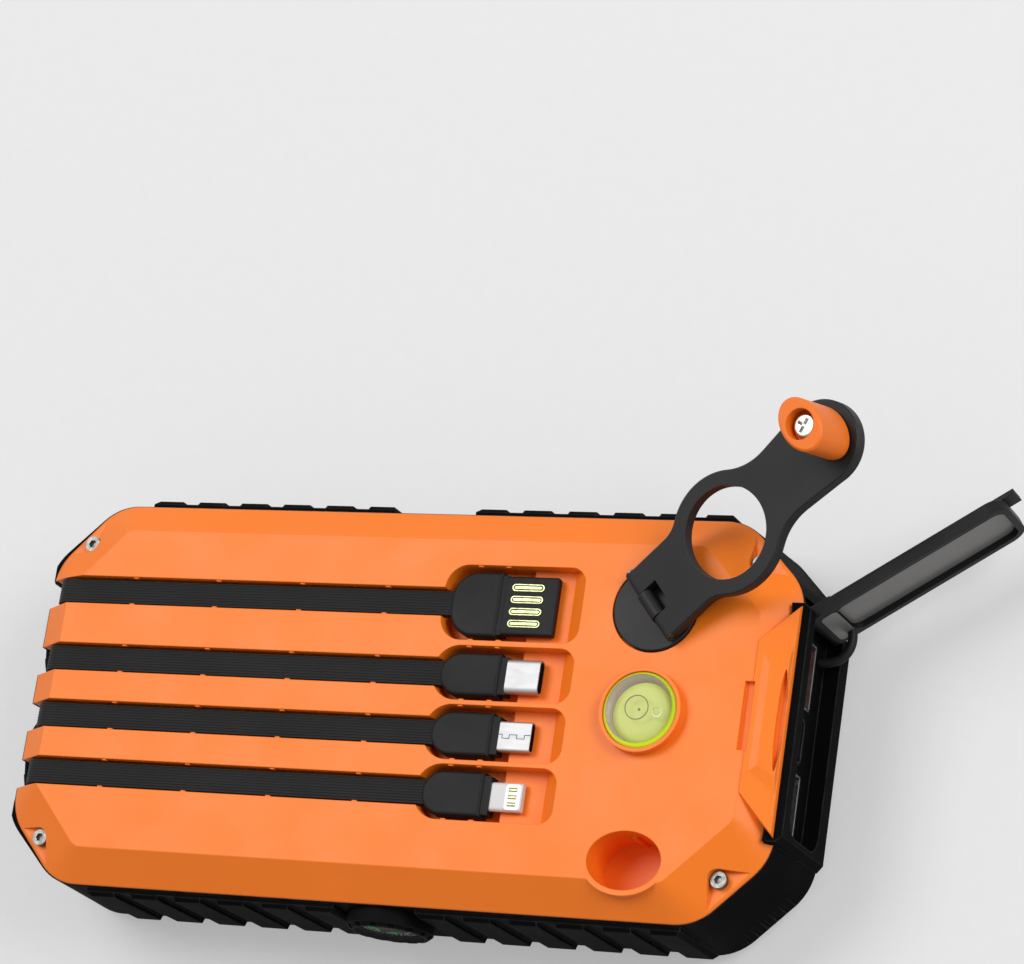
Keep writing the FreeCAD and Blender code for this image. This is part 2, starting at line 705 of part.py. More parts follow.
def pocket_tool(y, half, cable_round):
    """Plug pocket: deep under the plug body, then a finger scoop that ramps up past the tip."""
    outline = [(pocket_x0, y - half), (pocket_x1, y - half), (pocket_x1, y + half), (pocket_x0, y + half)]
    radii = [cable_round, pocket_round, pocket_round, cable_round]
    plan = prism(outline, pocket_floor - 1, body_height + 2, radii)
    ramp = body_height - scoop_floor
    profile = [
        (pocket_x0 - 1, pocket_floor), (pocket_deep_x, pocket_floor), (pocket_deep_x, scoop_floor),
        (pocket_x1 - ramp, scoop_floor), (pocket_x1 + 2, body_height + 2), (pocket_x0 - 1, body_height + 2),
    ]
    return plan.common(side_prism(profile, y - half - 1, y + half + 1))


def nubs(y, half, places):
    """Small retaining bumps along both walls of a channel or pocket."""
    top, bottom = body_height - 0.25, body_height - 1.0
    shapes = []
    for x in places:
        for side in (-1, 1):
            wall = y + side * half
            shapes.append(box(x - nub_length / 2, x + nub_length / 2, min(wall, wall - side * nub_proud),
                              max(wall, wall - side * nub_proud) , bottom, top))
            shapes[-1] = shapes[-1].fuse(box(x - nub_length / 2, x + nub_length / 2,
                                             min(wall, wall + side * 0.3), max(wall, wall + side * 0.3), bottom, top))
    return shapes


def port_pad():
    """Raised step of the back above the ports: a wide sloping trapezoid with a smaller pad on it."""
    inner_x, outer_x = flat_l + 0.35, half_l + 0.3
    slope = 0.3
    low = port_block_top + 0.1

    def quad(inner, outer, inner_half, outer_half, lift=0.0):
        """Closed outline across the slope, a little wider on the +Y side where the halves are pairs."""
        rise = [body_height - slope * (x - inner_x) + lift for x in (inner, outer)]
        return Part.makePolygon([
            V(inner, -inner_half[0], rise[0]), V(outer, -outer_half[0], rise[1]), V(outer, outer_half[1], rise[1]),
            V(inner, inner_half[1], rise[0]), V(inner, -inner_half[0], rise[0]),
        ])

    base = Part.makePolygon([
        V(inner_x - 0.3, -15.6, low), V(outer_x + 0.3, -22.8, low), V(outer_x + 0.3, 22.8, low),
        V(inner_x - 0.3, 15.6, low), V(inner_x - 0.3, -15.6, low),
    ])
    wide = Part.makeLoft([base, quad(inner_x, outer_x, (14.9, 14.9), (22.2, 22.2))], True, True)
    foot = quad(inner_x + 0.9, outer_x - 0.1, (10.8, 12.6), (15.1, 15.1), -0.1)
    crown_x = inner_x + 2.7
    crown = Part.makePolygon([
        V(crown_x, -9.4, body_height - 0.25), V(outer_x - 0.4, -11.3, body_height - 1.2),
        V(outer_x - 0.4, 11.9, body_height - 1.2), V(crown_x, 10.3, body_height - 0.25),
        V(crown_x, -9.4, body_height - 0.25),
    ])
    pad = Part.makeLoft([foot, crown], True, True)
    finger = oval(1.4, 19.9, body_height - 2.5, body_height + 1, outer_x - 0.8, -0.35)
    return [wide, pad], finger


def screw_pocket(sx, sy):
    """Three-sided pocket of a case screw, open towards the cut corner."""
    leg, inset = 8.2, 1.9
    corner = (sx * (screw_x - inset), sy * (screw_y - inset))
    along_x = (corner[0] + sx * (leg + inset), corner[1])
    along_y = (corner[0], corner[1] + sy * (leg + inset))
    points = [corner, along_x, along_y] if sx * sy > 0 else [corner, along_y, along_x]
    return prism(points, screw_seat, body_height + 2, [2.1, 0, 0])


def make_back_shell():
    lower = (half_l, half_w, corner_cut, corner_round, seam_height)
    upper = (flat_l, flat_w, corner_cut - 0.5, 3.0, body_height)
    top = octagon_loft(lower, upper, lamp_end_inset)
    slab = octagon(inner_l, inner_w, slab_bottom, seam_height)
    skirt = octagon(inner_l, inner_w, skirt_bottom, slab_bottom)
    skirt = skirt.cut(octagon(inner_l - shell_wall, inner_w - shell_wall, skirt_bottom, slab_bottom))
    skirt = skirt.cut(group([
        cylinder(screw_post + fit_gap, (x, y, skirt_bottom - 1), Z_AXIS, slab_bottom) for x, y in screw_places()
    ]))
    well = oval(stow_along_x + 2 * stow_wall, stow_along_y + 2 * stow_wall, stow_floor - stow_wall,
                body_height, stow_x, stow_y)
    bush_boss = cylinder(bush_radius + 2.0, (hub_x, hub_y, bush_bottom), Z_AXIS, slab_bottom - bush_bottom + 1)
    level_ring = cylinder(level_boss, (level_x, level_y, body_height - 1), Z_AXIS, 1 + level_boss_rise)
    pads, finger_notch = port_pad()
    # room for the bumper's port block below the raised step
    for_block = [
        box(port_block_inner - fit_gap, half_l + 5, -cap_half - fit_gap, cap_half + fit_gap,
            skirt_bottom - 1, slab_bottom),
        box(inner_l, half_l + 5, -cap_half - fit_gap, cap_half + fit_gap, skirt_bottom, port_block_top + 0.1),
    ]
    shell = fused([top, slab, skirt]).cut(group(for_block))
    shell = fused([shell, well, bush_boss, level_ring] + pads)
    tools = [finger_notch]
    for name, y, half, cable_round in CABLES:
        tools.append(channel_tool(y))
        tools.append(pocket_tool(y, half, cable_round))
    tools.append(oval(stow_along_x, stow_along_y, stow_floor, body_height + 2, stow_x, stow_y))
    tools.append(cylinder(hub_radius + face_gap, (hub_x, hub_y, hub_top - hub_thickness - 0.2), Z_AXIS, 5))
    tools.append(cylinder(bush_radius, (hub_x, hub_y, bush_bottom - 1), Z_AXIS, 12))
    tools.append(cylinder(level_radius + seat_gap, (level_x, level_y, level_seat), Z_AXIS, 12))
    tools.append(box(slot_x - slot_width / 2, slot_x + slot_width / 2, -slot_length / 2, slot_length / 2,
                     body_height - slot_depth, body_height + 2))
    for sx in (-1, 1):
        for sy in (-1, 1):
            tools.append(screw_pocket(sx, sy))
    tools += [cylinder(screw_shank + 0.15, (x, y, skirt_bottom), Z_AXIS, 8) for x, y in screw_places()]
    for tool in tools:
        shell = shell.cut(tool)
    bumps = []
    for name, y, half, cable_round in CABLES:
        bumps += nubs(y, channel_width / 2, (-60.0, -41.0, -22.0, -3.0))
        bumps += nubs(y, half, (16.5, 22.5))
    return fused([shell] + bumps + stow_ribs())


def stow_ribs():
    """Low ribs on both long walls of the stow hole that hold the knob."""
    ribs = []
    for i in (-1, 0, 1):
        x = stow_x + i * stow_rib_pitch
        for side in (-1, 1):
            wall = stow_y + side * stow_along_y / 2
            inner, outer = wall - side * stow_rib, wall + side * stow_wall / 2
            ribs.append(box(x - stow_rib, x + stow_rib, min(inner, outer), max(inner, outer), stow_floor - 0.1, body_height - 4.0))
    return ribs


def make_case_screws():
    screws = []
    for x, y in screw_places():
        head = cylinder(screw_head, (x, y, screw_seat), Z_AXIS, screw_head_height)
        socket = prism([(x + 0.85 * math.cos(a), y + 0.85 * math.sin(a))
                        for a in (i * math.pi / 3 for i in range(6))],
                       screw_seat + 0.5, screw_seat + 2)
        shank = cylinder(screw_shank, (x, y, screw_seat - screw_length), Z_AXIS, screw_length)
        screws.append(head.cut(socket).fuse(shank))
    return group(screws)


# ---------------------------------------------------------------- cables and plugs
def make_ribbon(y):
    """Moving length of a flat cable: the bend over the rounded edge, then straight to the plug."""
    inner, outer = ribbon_bend - ribbon_thickness / 2, ribbon_bend + ribbon_thickness / 2
    end_x = PLUG_BODIES["usb_a"][0] + 1.5
    low, high = ribbon_middle - ribbon_thickness / 2, ribbon_middle + ribbon_thickness / 2
    start = ribbon_thickness / 2

    def on_arc(radius, angle):
        return V(bend_x - radius * math.cos(angle), 0, bend_z + radius * math.sin(angle))

    eighth, quarter = math.pi / 4, math.pi / 2
    edges = [
        Part.Arc(on_arc(outer, 0), on_arc(outer, eighth), on_arc(outer, quarter)).toShape(),
        Part.makeLine(on_arc(outer, quarter), V(end_x, 0, high)),
        Part.makeLine(V(end_x, 0, high), V(end_x, 0, low)),
        Part.makeLine(V(end_x, 0, low), on_arc(inner, quarter)),
        Part.Arc(on_arc(inner, quarter), on_arc(inner, eighth), on_arc(inner, 0)).toShape(),
        Part.Arc(on_arc(inner, 0), V(ribbon_drop_x, 0, bend_z - start), on_arc(outer, 0)).toShape(),
    ]
    face = Part.Face(Part.Wire(edges))
    face.translate(V(0, y - ribbon_width / 2, 0))
    return face.extrude(V(0, ribbon_width, 0))


def make_cable_root(y):
    """Fixed length of a flat cable that goes down into the case below the bend."""
    top = bend_z - ribbon_thickness / 2 - face_gap
    return box(ribbon_drop_x - ribbon_thickness / 2, ribbon_drop_x + ribbon_thickness / 2,
               y - ribbon_width / 2, y + ribbon_width / 2, skirt_bottom - 1.5, top)


def plug_middle():
    return pocket_floor + body_gap + plug_body_thickness / 2


def make_plug_body(name, y):
    """Overmould: a flat D with rounded edges, stepped down to a collar at the tip."""
    x0, x1, half, cable_round, collar_x, inset = PLUG_BODIES[name]
    low = pocket_floor + body_gap
    high = low + plug_body_thickness
    outline = [(x0, y - half), (x1, y - half), (x1, y + half), (x0, y + half)]
    body = prism(outline, low, high, [cable_round, 0, 0, cable_round])
    rims = [e for e in body.Edges if abs(e.BoundBox.ZMax - e.BoundBox.ZMin) < 1e-6]
    body = body.makeFillet(0.7, rims)
    collar = box(x1 - 0.5, collar_x, y - half + inset, y + half - inset, low + inset, high - inset)
    hole = box(x0 - 1, x0 + 3.2, y - ribbon_width / 2, y + ribbon_width / 2,
               ribbon_middle - ribbon_thickness / 2, ribbon_middle + ribbon_thickness / 2)
    return fused([body, collar]).cut(hole)


def make_plug_tip(name, y):
    length, width, thickness, radius, bore = PLUG_TIPS[name]
    x0 = PLUG_BODIES[name][4]
    middle = tip_middle(name)
    tip = cross_prism_rounded(y - width / 2, y + width / 2, middle - thickness / 2, middle + thickness / 2,
                              radius, x0, x0 + length)
    if bore > 0:
        inner = cross_prism_rounded(y - width / 2 + bore, y + width / 2 - bore, middle - thickness / 2 + bore,
                                    middle + thickness / 2 - bore, max(radius - bore, 0.15), x0 + 2, x0 + length + 1)
        tip = tip.cut(inner)
        tongue = box(x0 + 1.5, x0 + length - 0.8, y - width * 0.32, y + width * 0.32,
                     middle - 0.3, middle + 0.3)
        tip = tip.fuse(tongue)
    if name == "usb_a":
        corners = [e for e in tip.Edges
                   if abs(e.BoundBox.XMax - e.BoundBox.XMin) < 1e-6 and e.BoundBox.XMin > x0 + length - 1e-3]
        tip = tip.makeChamfer(0.3, corners)
        for contact in contact_places(y):
            tip = tip.cut(contact_bar(contact, middle, thickness, 0.02))
    return tip


def tip_middle(name):
    """Height of a plug tip: as low as its scoop allows with a small gap under it."""
    return max(plug_middle(), scoop_floor + 0.35 + PLUG_TIPS[name][2] / 2)


def contact_places(y):
    return [y + (i - 1.5) * 2.45 for i in range(4)]


def contact_bar(y, middle, thickness, grow=0.0):
    """One gold contact of the open USB-A tongue, let into its upper face."""
    x0 = PLUG_BODIES["usb_a"][4]
    half = 0.75 + grow
    top = middle + thickness / 2
    return prism([(x0 + 1.3 - grow, y - half), (x0 + 8.2 + grow, y - half), (x0 + 8.2 + grow, y + half),
                  (x0 + 1.3 - grow, y + half)], top - 0.3, top + 0.12, half * 0.96)


def make_usb_a_contacts():
    y = CABLES[0][1]
    middle, thickness = tip_middle("usb_a"), PLUG_TIPS["usb_a"][2]
    return group([contact_bar(place, middle, thickness) for place in contact_places(y)])


# ---------------------------------------------------------------- crank
def make_crank_hub():
    """Disc, knuckle and rest pad for the arm, on a shaft that goes down to the gears."""
    disc = cylinder(hub_radius, (0, 0, -pin_rise - hub_thickness), Z_AXIS, hub_thickness)
    disc = disc.makeChamfer(0.25, [e for e in disc.Edges if e.BoundBox.ZMin > -pin_rise - 1e-3])
    shaft_top = -pin_rise - 0.5
    shaft_length = pin_height + shaft_top - hub_shaft_bottom
    shaft = cylinder(hub_shaft, (0, 0, shaft_top - shaft_length), Z_AXIS, shaft_length)
    knuckle_radius = pin_rise - 0.05
    knuckle = cylinder(knuckle_radius, (0, -knuckle_width / 2, 0), Y_AXIS, knuckle_width)
    foot = box(-knuckle_radius, knuckle_radius, -knuckle_width / 2, knuckle_width / 2, -pin_rise - 0.2, 0)
    under = arm_thickness / 2 / math.cos(math.radians(crank_tilt))
    rise = math.tan(math.radians(crank_tilt))
    pad_x0, pad_x1 = rest_pad_x
    pad = side_prism([(pad_x0, -pin_rise - 0.2), (pad_x1, -pin_rise - 0.2), (pad_x1, pad_x1 * rise - under - 0.02),
                      (pad_x0, pad_x0 * rise - under - 0.02)], -rest_pad_half, rest_pad_half)
    hub = fused([disc, shaft, knuckle, foot, pad])
    hub = hub.cut(cylinder(pin_radius + running_gap, (0, -knuckle_width, 0), Y_AXIS, 2 * knuckle_width))
    flat = hub_shaft - 0.6
    drive_flat = box(flat, hub_shaft + 1, -hub_shaft - 1, hub_shaft + 1, hub_shaft_bottom - pin_height - 1,
                     gear_layers[0][1] - pin_height)
    hub = hub.cut(drive_flat)
    hub.rotate(V(0, 0, 0), Z_AXIS, crank_azimuth)
    hub.translate(V(hub_x, hub_y, pin_height))
    return hub


def make_crank_arm():
    """Flat arm with a rounded hinge end, a ring that goes round the level, and a round knob end."""
    low, high = -arm_thickness / 2, arm_thickness / 2
    half = arm_hinge_half
    hinge = prism([(0, -half), (ring_distance - ring_outer + 4, -half), (ring_distance - ring_outer + 4, half),
                   (0, half)], low, high)
    bar = prism([(ring_distance, -arm_waist / 2), (arm_end_distance, -arm_end), (arm_end_distance, arm_end),
                 (ring_distance, arm_waist / 2)], low, high)
    ring = cylinder(ring_outer, (ring_distance, 0, low), Z_AXIS, arm_thickness)
    end = cylinder(arm_end, (arm_end_distance, 0, low), Z_AXIS, arm_thickness)
    arm = fused([hinge, bar, ring, end])
    arm = arm.makeFillet(arm_hinge_blend, upright_edges(arm, 8.0, ring_distance - 5))
    arm = arm.makeFillet(arm_bar_blend, upright_edges(arm, ring_distance + 5, arm_end_distance - 8))
    rims = [e for e in arm.Edges if e.BoundBox.ZMin > high - 1e-3 and e.BoundBox.XMin > 1.0]
    arm = arm.makeChamfer(0.3, rims)
    roll = cylinder(arm_thickness / 2, (0, -half, 0), Y_AXIS, 2 * half)
    hole = cylinder(ring_radius, (ring_distance, 0, low - 1), Z_AXIS, arm_thickness + 2)
    notch_half = knuckle_width / 2 + knuckle_side_gap
    notch = box(-arm_thickness, arm_notch, -notch_half, notch_half, low - 1, high + 1)
    bore = cylinder(pin_radius + seat_gap, (0, -half - 1, 0), Y_AXIS, 2 * half + 2)
    screw_hole = cylinder(knob_thread_radius + seat_gap, (knob_distance, 0, low - 1), Z_AXIS, arm_thickness + 2)
    return on_crank(fused([arm, roll]).cut(group([hole, notch, bore, screw_hole])))


def upright_edges(shape, x0, x1):
    """Upright edges of a plate that stand between two places along X."""
    found = []
    for edge in shape.Edges:
        bb = edge.BoundBox
        if bb.ZLength > arm_thickness - 1e-3 and bb.XLength < 1e-3 and bb.YLength < 1e-3 and x0 < bb.XMin < x1:
            found.append(edge)
    return found


def make_hinge_pin():
    """Pin held in the arm, with a low round head on one side."""
    half = arm_hinge_half
    pin = cylinder(pin_radius, (0, -half + 0.3, 0), Y_AXIS, 2 * half - 0.3 + pin_head / 2)
    head = cylinder(pin_head_radius, (0, half + 0.01, 0), Y_AXIS, pin_head)
    return on_crank(fused([pin, head]))


def make_crank_knob():
    base = arm_thickness / 2 + face_gap
    knob = oval(knob_along, knob_across, base, base + knob_height, knob_distance, 0)
    rims = [e for e in knob.Edges if e.BoundBox.ZLength < 1e-3]
    knob = knob.makeChamfer(0.4, rims)
    counterbore = cylinder(knob_counterbore, (knob_distance, 0, base + knob_height - knob_counterbore_depth), Z_AXIS, 9)
    bore = cylinder(knob_screw_radius + running_gap, (knob_distance, 0, base - 1), Z_AXIS, knob_height + 2)
    return on_crank(knob.cut(group([counterbore, bore])))


def make_knob_screw():
    """Shouldered screw that the knob turns on, with a washer foot that stands on the arm."""
    base = arm_thickness / 2 + face_gap
    seat = base + knob_height - knob_counterbore_depth + 0.1
    head = cylinder(knob_screw_head, (knob_distance, 0, seat), Z_AXIS, 1.5)
    head = head.makeFillet(0.6, [e for e in head.Edges if e.BoundBox.ZMin > seat + 1.4])
    for angle in (0, 90):
        slot = box(-1.5, 1.5, -0.28, 0.28, 0.6, 2)
        slot.rotate(V(0, 0, 0), Z_AXIS, angle + 20)
        slot.translate(V(knob_distance, 0, seat))
        head = head.cut(slot)
    shank = cylinder(knob_screw_radius, (knob_distance, 0, arm_thickness / 2), Z_AXIS, seat - arm_thickness / 2)
    washer = cylinder(knob_washer_radius, (knob_distance, 0, arm_thickness / 2 + 0.01), Z_AXIS, face_gap - 0.06)
    thread = cylinder(knob_thread_radius, (knob_distance, 0, -arm_thickness / 2), Z_AXIS, arm_thickness)
    return on_crank(fused([head, shank, washer, thread]))


def make_crank_bush():
    """Flanged bush in the back shell that carries the crank's shaft."""
    top = hub_top - hub_thickness - 0.2
    return tube(bush_radius - seat_gap, hub_shaft + running_gap, (hub_x, hub_y, bush_bottom), Z_AXIS, top - bush_bottom)


# ---------------------------------------------------------------- gears and generator
def gear_axes():
    places = [(hub_x, hub_y)]
    for angle in gear_angles:
        x, y = places[-1]
        a = math.radians(angle)
        places.append((x + gear_distance * math.cos(a), y + gear_distance * math.sin(a)))
    return places


def gear(teeth, place, low, high, tooth_angle, bore=0.0):
    """Spur gear with involute flanks; tooth_angle is where one tooth's middle points."""
    pitch_r = gear_module * teeth / 2
    base_r = pitch_r * math.cos(math.radians(20))
    outer_r = pitch_r + 0.92 * gear_module
    root_r = pitch_r - 1.25 * gear_module
    half_tooth = math.pi / (2 * teeth) - gear_backlash / (2 * pitch_r)
    involute_at = lambda r: math.tan(math.acos(base_r / r)) - math.acos(base_r / r)
    start_r = max(base_r, root_r)
    radii = [start_r, (start_r + pitch_r) / 2, pitch_r, outer_r]
    points = []
    for i in range(teeth):
        middle = tooth_angle + 2 * math.pi * i / teeth
        flank = [(r, half_tooth + involute_at(pitch_r) - involute_at(r)) for r in radii]
        rise = [(root_r, flank[0][1])] + flank if root_r < start_r else flank
        points += [(r, middle - a) for r, a in rise]
        points += [(r, middle + a) for r, a in rise[::-1]]
    x, y = place
    outline = [V(x + r * math.cos(a), y + r * math.sin(a), low) for r, a in points]
    solid = Part.Face(Part.makePolygon(outline + [outline[0]])).extrude(V(0, 0, high - low))
    if bore > 0:
        solid = solid.cut(cylinder(bore, (x, y, low - 1), Z_AXIS, high - low + 2))
    return solid


def meshing_angle(teeth, towards, driver_teeth, driver_angle):
    """Tooth angle that puts a gap of this gear on a tooth of its driver, along the line of centres."""
    driver_phase = ((towards - driver_angle) / (2 * math.pi / driver_teeth)) % 1.0
    own_phase = (0.5 + driver_phase) % 1.0
    return towards + math.pi + own_phase * 2 * math.pi / teeth


def make_gear_train():
    """Crank gear, two compound gears and the generator's pinion, each in mesh with the last."""
    places = gear_axes()
    layers = gear_layers
    drive = gear(wheel_teeth, places[0], *layers[0], 0.0)
    flat_bore = cylinder(hub_shaft + seat_gap, (hub_x, hub_y, layers[0][0] - 1), Z_AXIS, 4)
    key = box(hub_shaft - 0.6 + seat_gap, hub_shaft + 2, -hub_shaft - 1, hub_shaft + 1, layers[0][0] - 1, layers[0][1] + 1)
    key.rotate(V(0, 0, 0), Z_AXIS, crank_azimuth)
    key.translate(V(hub_x, hub_y, 0))
    shapes = {"crank_gear": drive.cut(flat_bore.cut(key))}
    last_angle = 0.0
    for i, name in ((1, "idler_gear_1"), (2, "idler_gear_2")):
        towards = math.radians(gear_angles[i - 1])
        pinion_angle = meshing_angle(pinion_teeth, towards, wheel_teeth, last_angle)
        pinion = gear(pinion_teeth, places[i], layers[i][1] - 0.1, layers[i - 1][1], pinion_angle, axle_radius + running_gap)
        wheel = gear(wheel_teeth, places[i], *layers[i], pinion_angle, axle_radius + running_gap)
        shapes[name] = fused([wheel, pinion])
        last_angle = pinion_angle
    towards = math.radians(gear_angles[2])
    pinion_angle = meshing_angle(pinion_teeth, towards, wheel_teeth, last_angle)
    x, y = places[3]
    pinion = gear(pinion_teeth, places[3], *layers[2], pinion_angle)
    shaft = cylinder(axle_radius, (x, y, case_bottom + case_wall + 0.3), Z_AXIS, layers[2][1] - case_bottom - case_wall)
    armature = cylinder(rotor_radius, (x, y, case_bottom + 2.2), Z_AXIS, gear_plate_z[0] - case_bottom - 3.6)
    shapes["generator_rotor"] = fused([pinion, shaft, armature])
    return shapes


def strut(start, end, half, low, high):
    """Straight bar of a plate between two plan places."""
    along = V(end[0] - start[0], end[1] - start[1], 0).normalize()
    side = V(-along.y, along.x, 0) * half
    corners = [V(*start, 0) - side, V(*end, 0) - side, V(*end, 0) + side, V(*start, 0) + side]
    return prism([(c.x, c.y) for c in corners], low, high)


def make_gear_plate():
    """Plate that carries the gear axles, on posts that stand on the main board."""
    places = gear_axes()
    low, high = gear_plate_z
    plate = fused([cylinder(gear_plate_border, (*place, low), Z_AXIS, high - low) for place in places]
                  + [strut(a, b, gear_plate_border, low, high) for a, b in zip(places, places[1:] + places[:1])])
    feet = ((0, 4.3, -6.4), (1, -4.5, 5.5), (2, 5.0, -5.5), (2, -6.0, 4.5))   # axis, and the post's place from it
    posts = [cylinder(2.2, (places[i][0] + dx, places[i][1] + dy, board_top), Z_AXIS, low - board_top)
             for i, dx, dy in feet]
    plate = fused([plate] + posts)
    holes = [cylinder(hub_shaft + running_gap, (*places[0], low - 1), Z_AXIS, 5)]
    holes += [cylinder(axle_radius, (*place, low - 1), Z_AXIS, 5) for place in places[1:3]]
    holes.append(cylinder(axle_radius + running_gap, (*places[3], low - 1), Z_AXIS, 5))
    return plate.cut(group(holes))


def make_gear_axles():
    low = gear_plate_z[0]
    return group([cylinder(axle_radius - seat_gap / 2, (*place, low), Z_AXIS, slab_bottom - 0.05 - low)
                  for place in gear_axes()[1:3]])


def make_generator_case():
    x, y = gear_axes()[3]
    height = gear_plate_z[0] - case_bottom
    can = tube(case_radius, case_radius - case_wall, (x, y, case_bottom), Z_AXIS, height)
    bottom = tube(case_radius - 0.5, axle_radius + running_gap, (x, y, case_bottom), Z_AXIS, case_wall)
    return fused([can, bottom])


def make_generator_magnets():
    x, y = gear_axes()[3]
    outer = case_radius - case_wall - seat_gap
    return tube(outer, outer - magnet_thickness, (x, y, case_bottom + 2.2), Z_AXIS, gear_plate_z[0] - case_bottom - 3.6)


# ---------------------------------------------------------------- ports and door
def make_usb_a_sockets():
    sockets = []
    for y in usb_a_y:
        shell = socket_prism(usb_a_size, 0.4, y, port_floor_x - usb_a_depth, usb_a_depth)
        inside = socket_prism(usb_a_size, 0.3, y, port_floor_x - usb_a_depth + 1.5, usb_a_depth, -socket_wall)
        tongue = box(port_floor_x - usb_a_depth + 1, port_floor_x - 1.2, y - 5.5, y + 5.5, port_z + 0.3, port_z + 2.0)
        sockets.append(shell.cut(inside).fuse(tongue))
    return group(sockets)


def make_usb_c_socket():
    radius = usb_c_size[1] / 2 - 0.05
    shell = socket_prism(usb_c_size, radius, usb_c_y, port_floor_x - usb_c_depth, usb_c_depth)
    inside = socket_prism(usb_c_size, radius - socket_wall, usb_c_y, port_floor_x - usb_c_depth + 1.2, usb_c_depth, -socket_wall)
    tongue = box(port_floor_x - usb_c_depth + 1, port_floor_x - 0.9, usb_c_y - 3.3, usb_c_y + 3.3, port_z - 0.35, port_z + 0.35)
    return shell.cut(inside).fuse(tongue)


def make_port_board():
    """Board that the sockets stand on, held up by two blocks on the front frame."""
    top = port_z - usb_a_size[1] / 2
    board = box(port_floor_x - usb_a_depth - 2, port_block_inner - 0.2, usb_a_y[1] - 7.8, usb_a_y[0] + 8.2, top - board_thickness, top)
    lift = box(port_floor_x - usb_c_depth, port_floor_x - usb_c_depth + 4.6, usb_c_y - 4, usb_c_y + 4,
               top - 0.1, port_z - usb_c_size[1] / 2)
    leg_x1 = port_block_inner - 6.4
    legs = [box(leg_x1 - 5, leg_x1, y - 2, y + 2, frame_floor_top, top - board_thickness)
            for y in (usb_a_y[1] - 5.1, usb_a_y[0] + 6.2)]
    return fused([board, lift] + legs)


def closed_door():
    """Flap over the ports as it lies when shut, with its tray, hinge barrel and pull tab."""
    low, high = port_mouth[0] + door_gap, port_mouth[1] - door_gap
    x0, x1 = block_face - door_thickness, block_face
    end_y = port_y0 + door_gap
    leaf = cross_prism_rounded(end_y, door_pin_y - 0.2, low, high, port_round - door_gap, x0, x1)
    root = box(x0, x1, door_pin_y - 5, door_pin_y, low, high)
    barrel = cylinder(door_thickness / 2, (door_pin_x, door_pin_y, low), Z_AXIS, high - low)
    rims = [e for e in leaf.Edges if e.BoundBox.XMin > x1 - 1e-3]
    leaf = leaf.makeFillet(0.6, rims)
    tab = box(x1 - 0.8, x1 + tab_thickness, end_y + 0.7, end_y + 3.0, tab_z - tab_width / 2, tab_z + tab_width / 2)
    lip = box(x1 + face_gap, x1 + tab_thickness, end_y - tab_length, end_y + 1, tab_z - tab_width / 2, tab_z + tab_width / 2)
    tray = cross_prism_rounded(end_y + door_rim, door_pin_y - 4.4, low + door_rim, high - door_rim,
                               port_round - door_gap - door_rim, x0 - 1, x0 + door_tray)
    hole = cylinder(door_pin_radius + running_gap, (door_pin_x, door_pin_y, low - 1), Z_AXIS, high - low + 2)
    return fused([leaf, root, barrel, tab, lip]).cut(group([tray, hole]))


def make_port_door():
    door = closed_door()
    door.rotate(V(door_pin_x, door_pin_y, 0), Z_AXIS, door_open)
    return door


def make_door_pin():
    low, high = port_mouth
    return cylinder(door_pin_radius, (door_pin_x, door_pin_y, low - 1.1), Z_AXIS, high - low + 2.2)


def make_door_tether():
    """Soft strap from the recess to the open door's inner face."""
    a = math.radians(door_open - 90)
    along = V(math.cos(a), math.sin(a), 0)
    away = V(math.sin(a), -math.cos(a), 0)
    z = port_mouth[0] + 3.2
    anchor = V(port_floor_x + 0.05, 17.6, z)
    landing = V(door_pin_x, door_pin_y, z) + along * 7.6 + away * (door_thickness / 2 - door_tray + 0.05)
    spline = Part.BSplineCurve()
    spline.interpolate(Points=[anchor, landing + away * 5.2 - along * 0.9, landing],
                       InitialTangent=X_AXIS, FinalTangent=-away)
    path = Part.Wire([spline.toShape()])
    profile = Part.Wire([Part.makeCircle(0.8, anchor, X_AXIS)])
    return path.makePipeShell([profile], True, False)


# ---------------------------------------------------------------- lamps, compass, button, level
def notched_ring(outer, inner, height, bevel, count, notch_width, notch_depth):
    """Ring along +Z from 0, bevelled at its outer edge, with notches cut round the bevel."""
    ring = tube(outer, inner, (0, 0, 0), Z_AXIS, height)
    rim = [e for e in ring.Edges if e.BoundBox.ZMin > height - 1e-3 and e.BoundBox.XMax > outer - 1e-3]
    ring = ring.makeChamfer(bevel, rim)
    for i in range(count):
        tool = box(outer - notch_depth, outer + 1, -notch_width / 2, notch_width / 2, height - bevel * 0.9, height + 1)
        tool.rotate(V(0, 0, 0), Z_AXIS, 360.0 / count * (i + 0.5))
        ring = ring.cut(tool)
    return ring


def make_lamp_bezels():
    shapes = []
    for y in lamp_places():
        ring = notched_ring(lamp_bezel, lamp_opening, lamp_bezel_height, 0.9, lamp_notches, 3.0, 1.5)
        spigot = tube(lamp_bezel - 1.0, lamp_opening, (0, 0, -lamp_bezel_seat + 0.05), Z_AXIS, lamp_bezel_seat)
        shapes.append(to_lamp(fused([ring, spigot]), y))
    return group(shapes)


def to_lamp(shape, y):
    """Carry a shape built along +Z to the leaning lamp face, facing out."""
    shape = shape.copy()
    shape.rotate(V(0, 0, 0), Y_AXIS, lamp_tilt - 90)
    shape.translate(V(-lamp_face_x, y, lamp_z))
    return shape


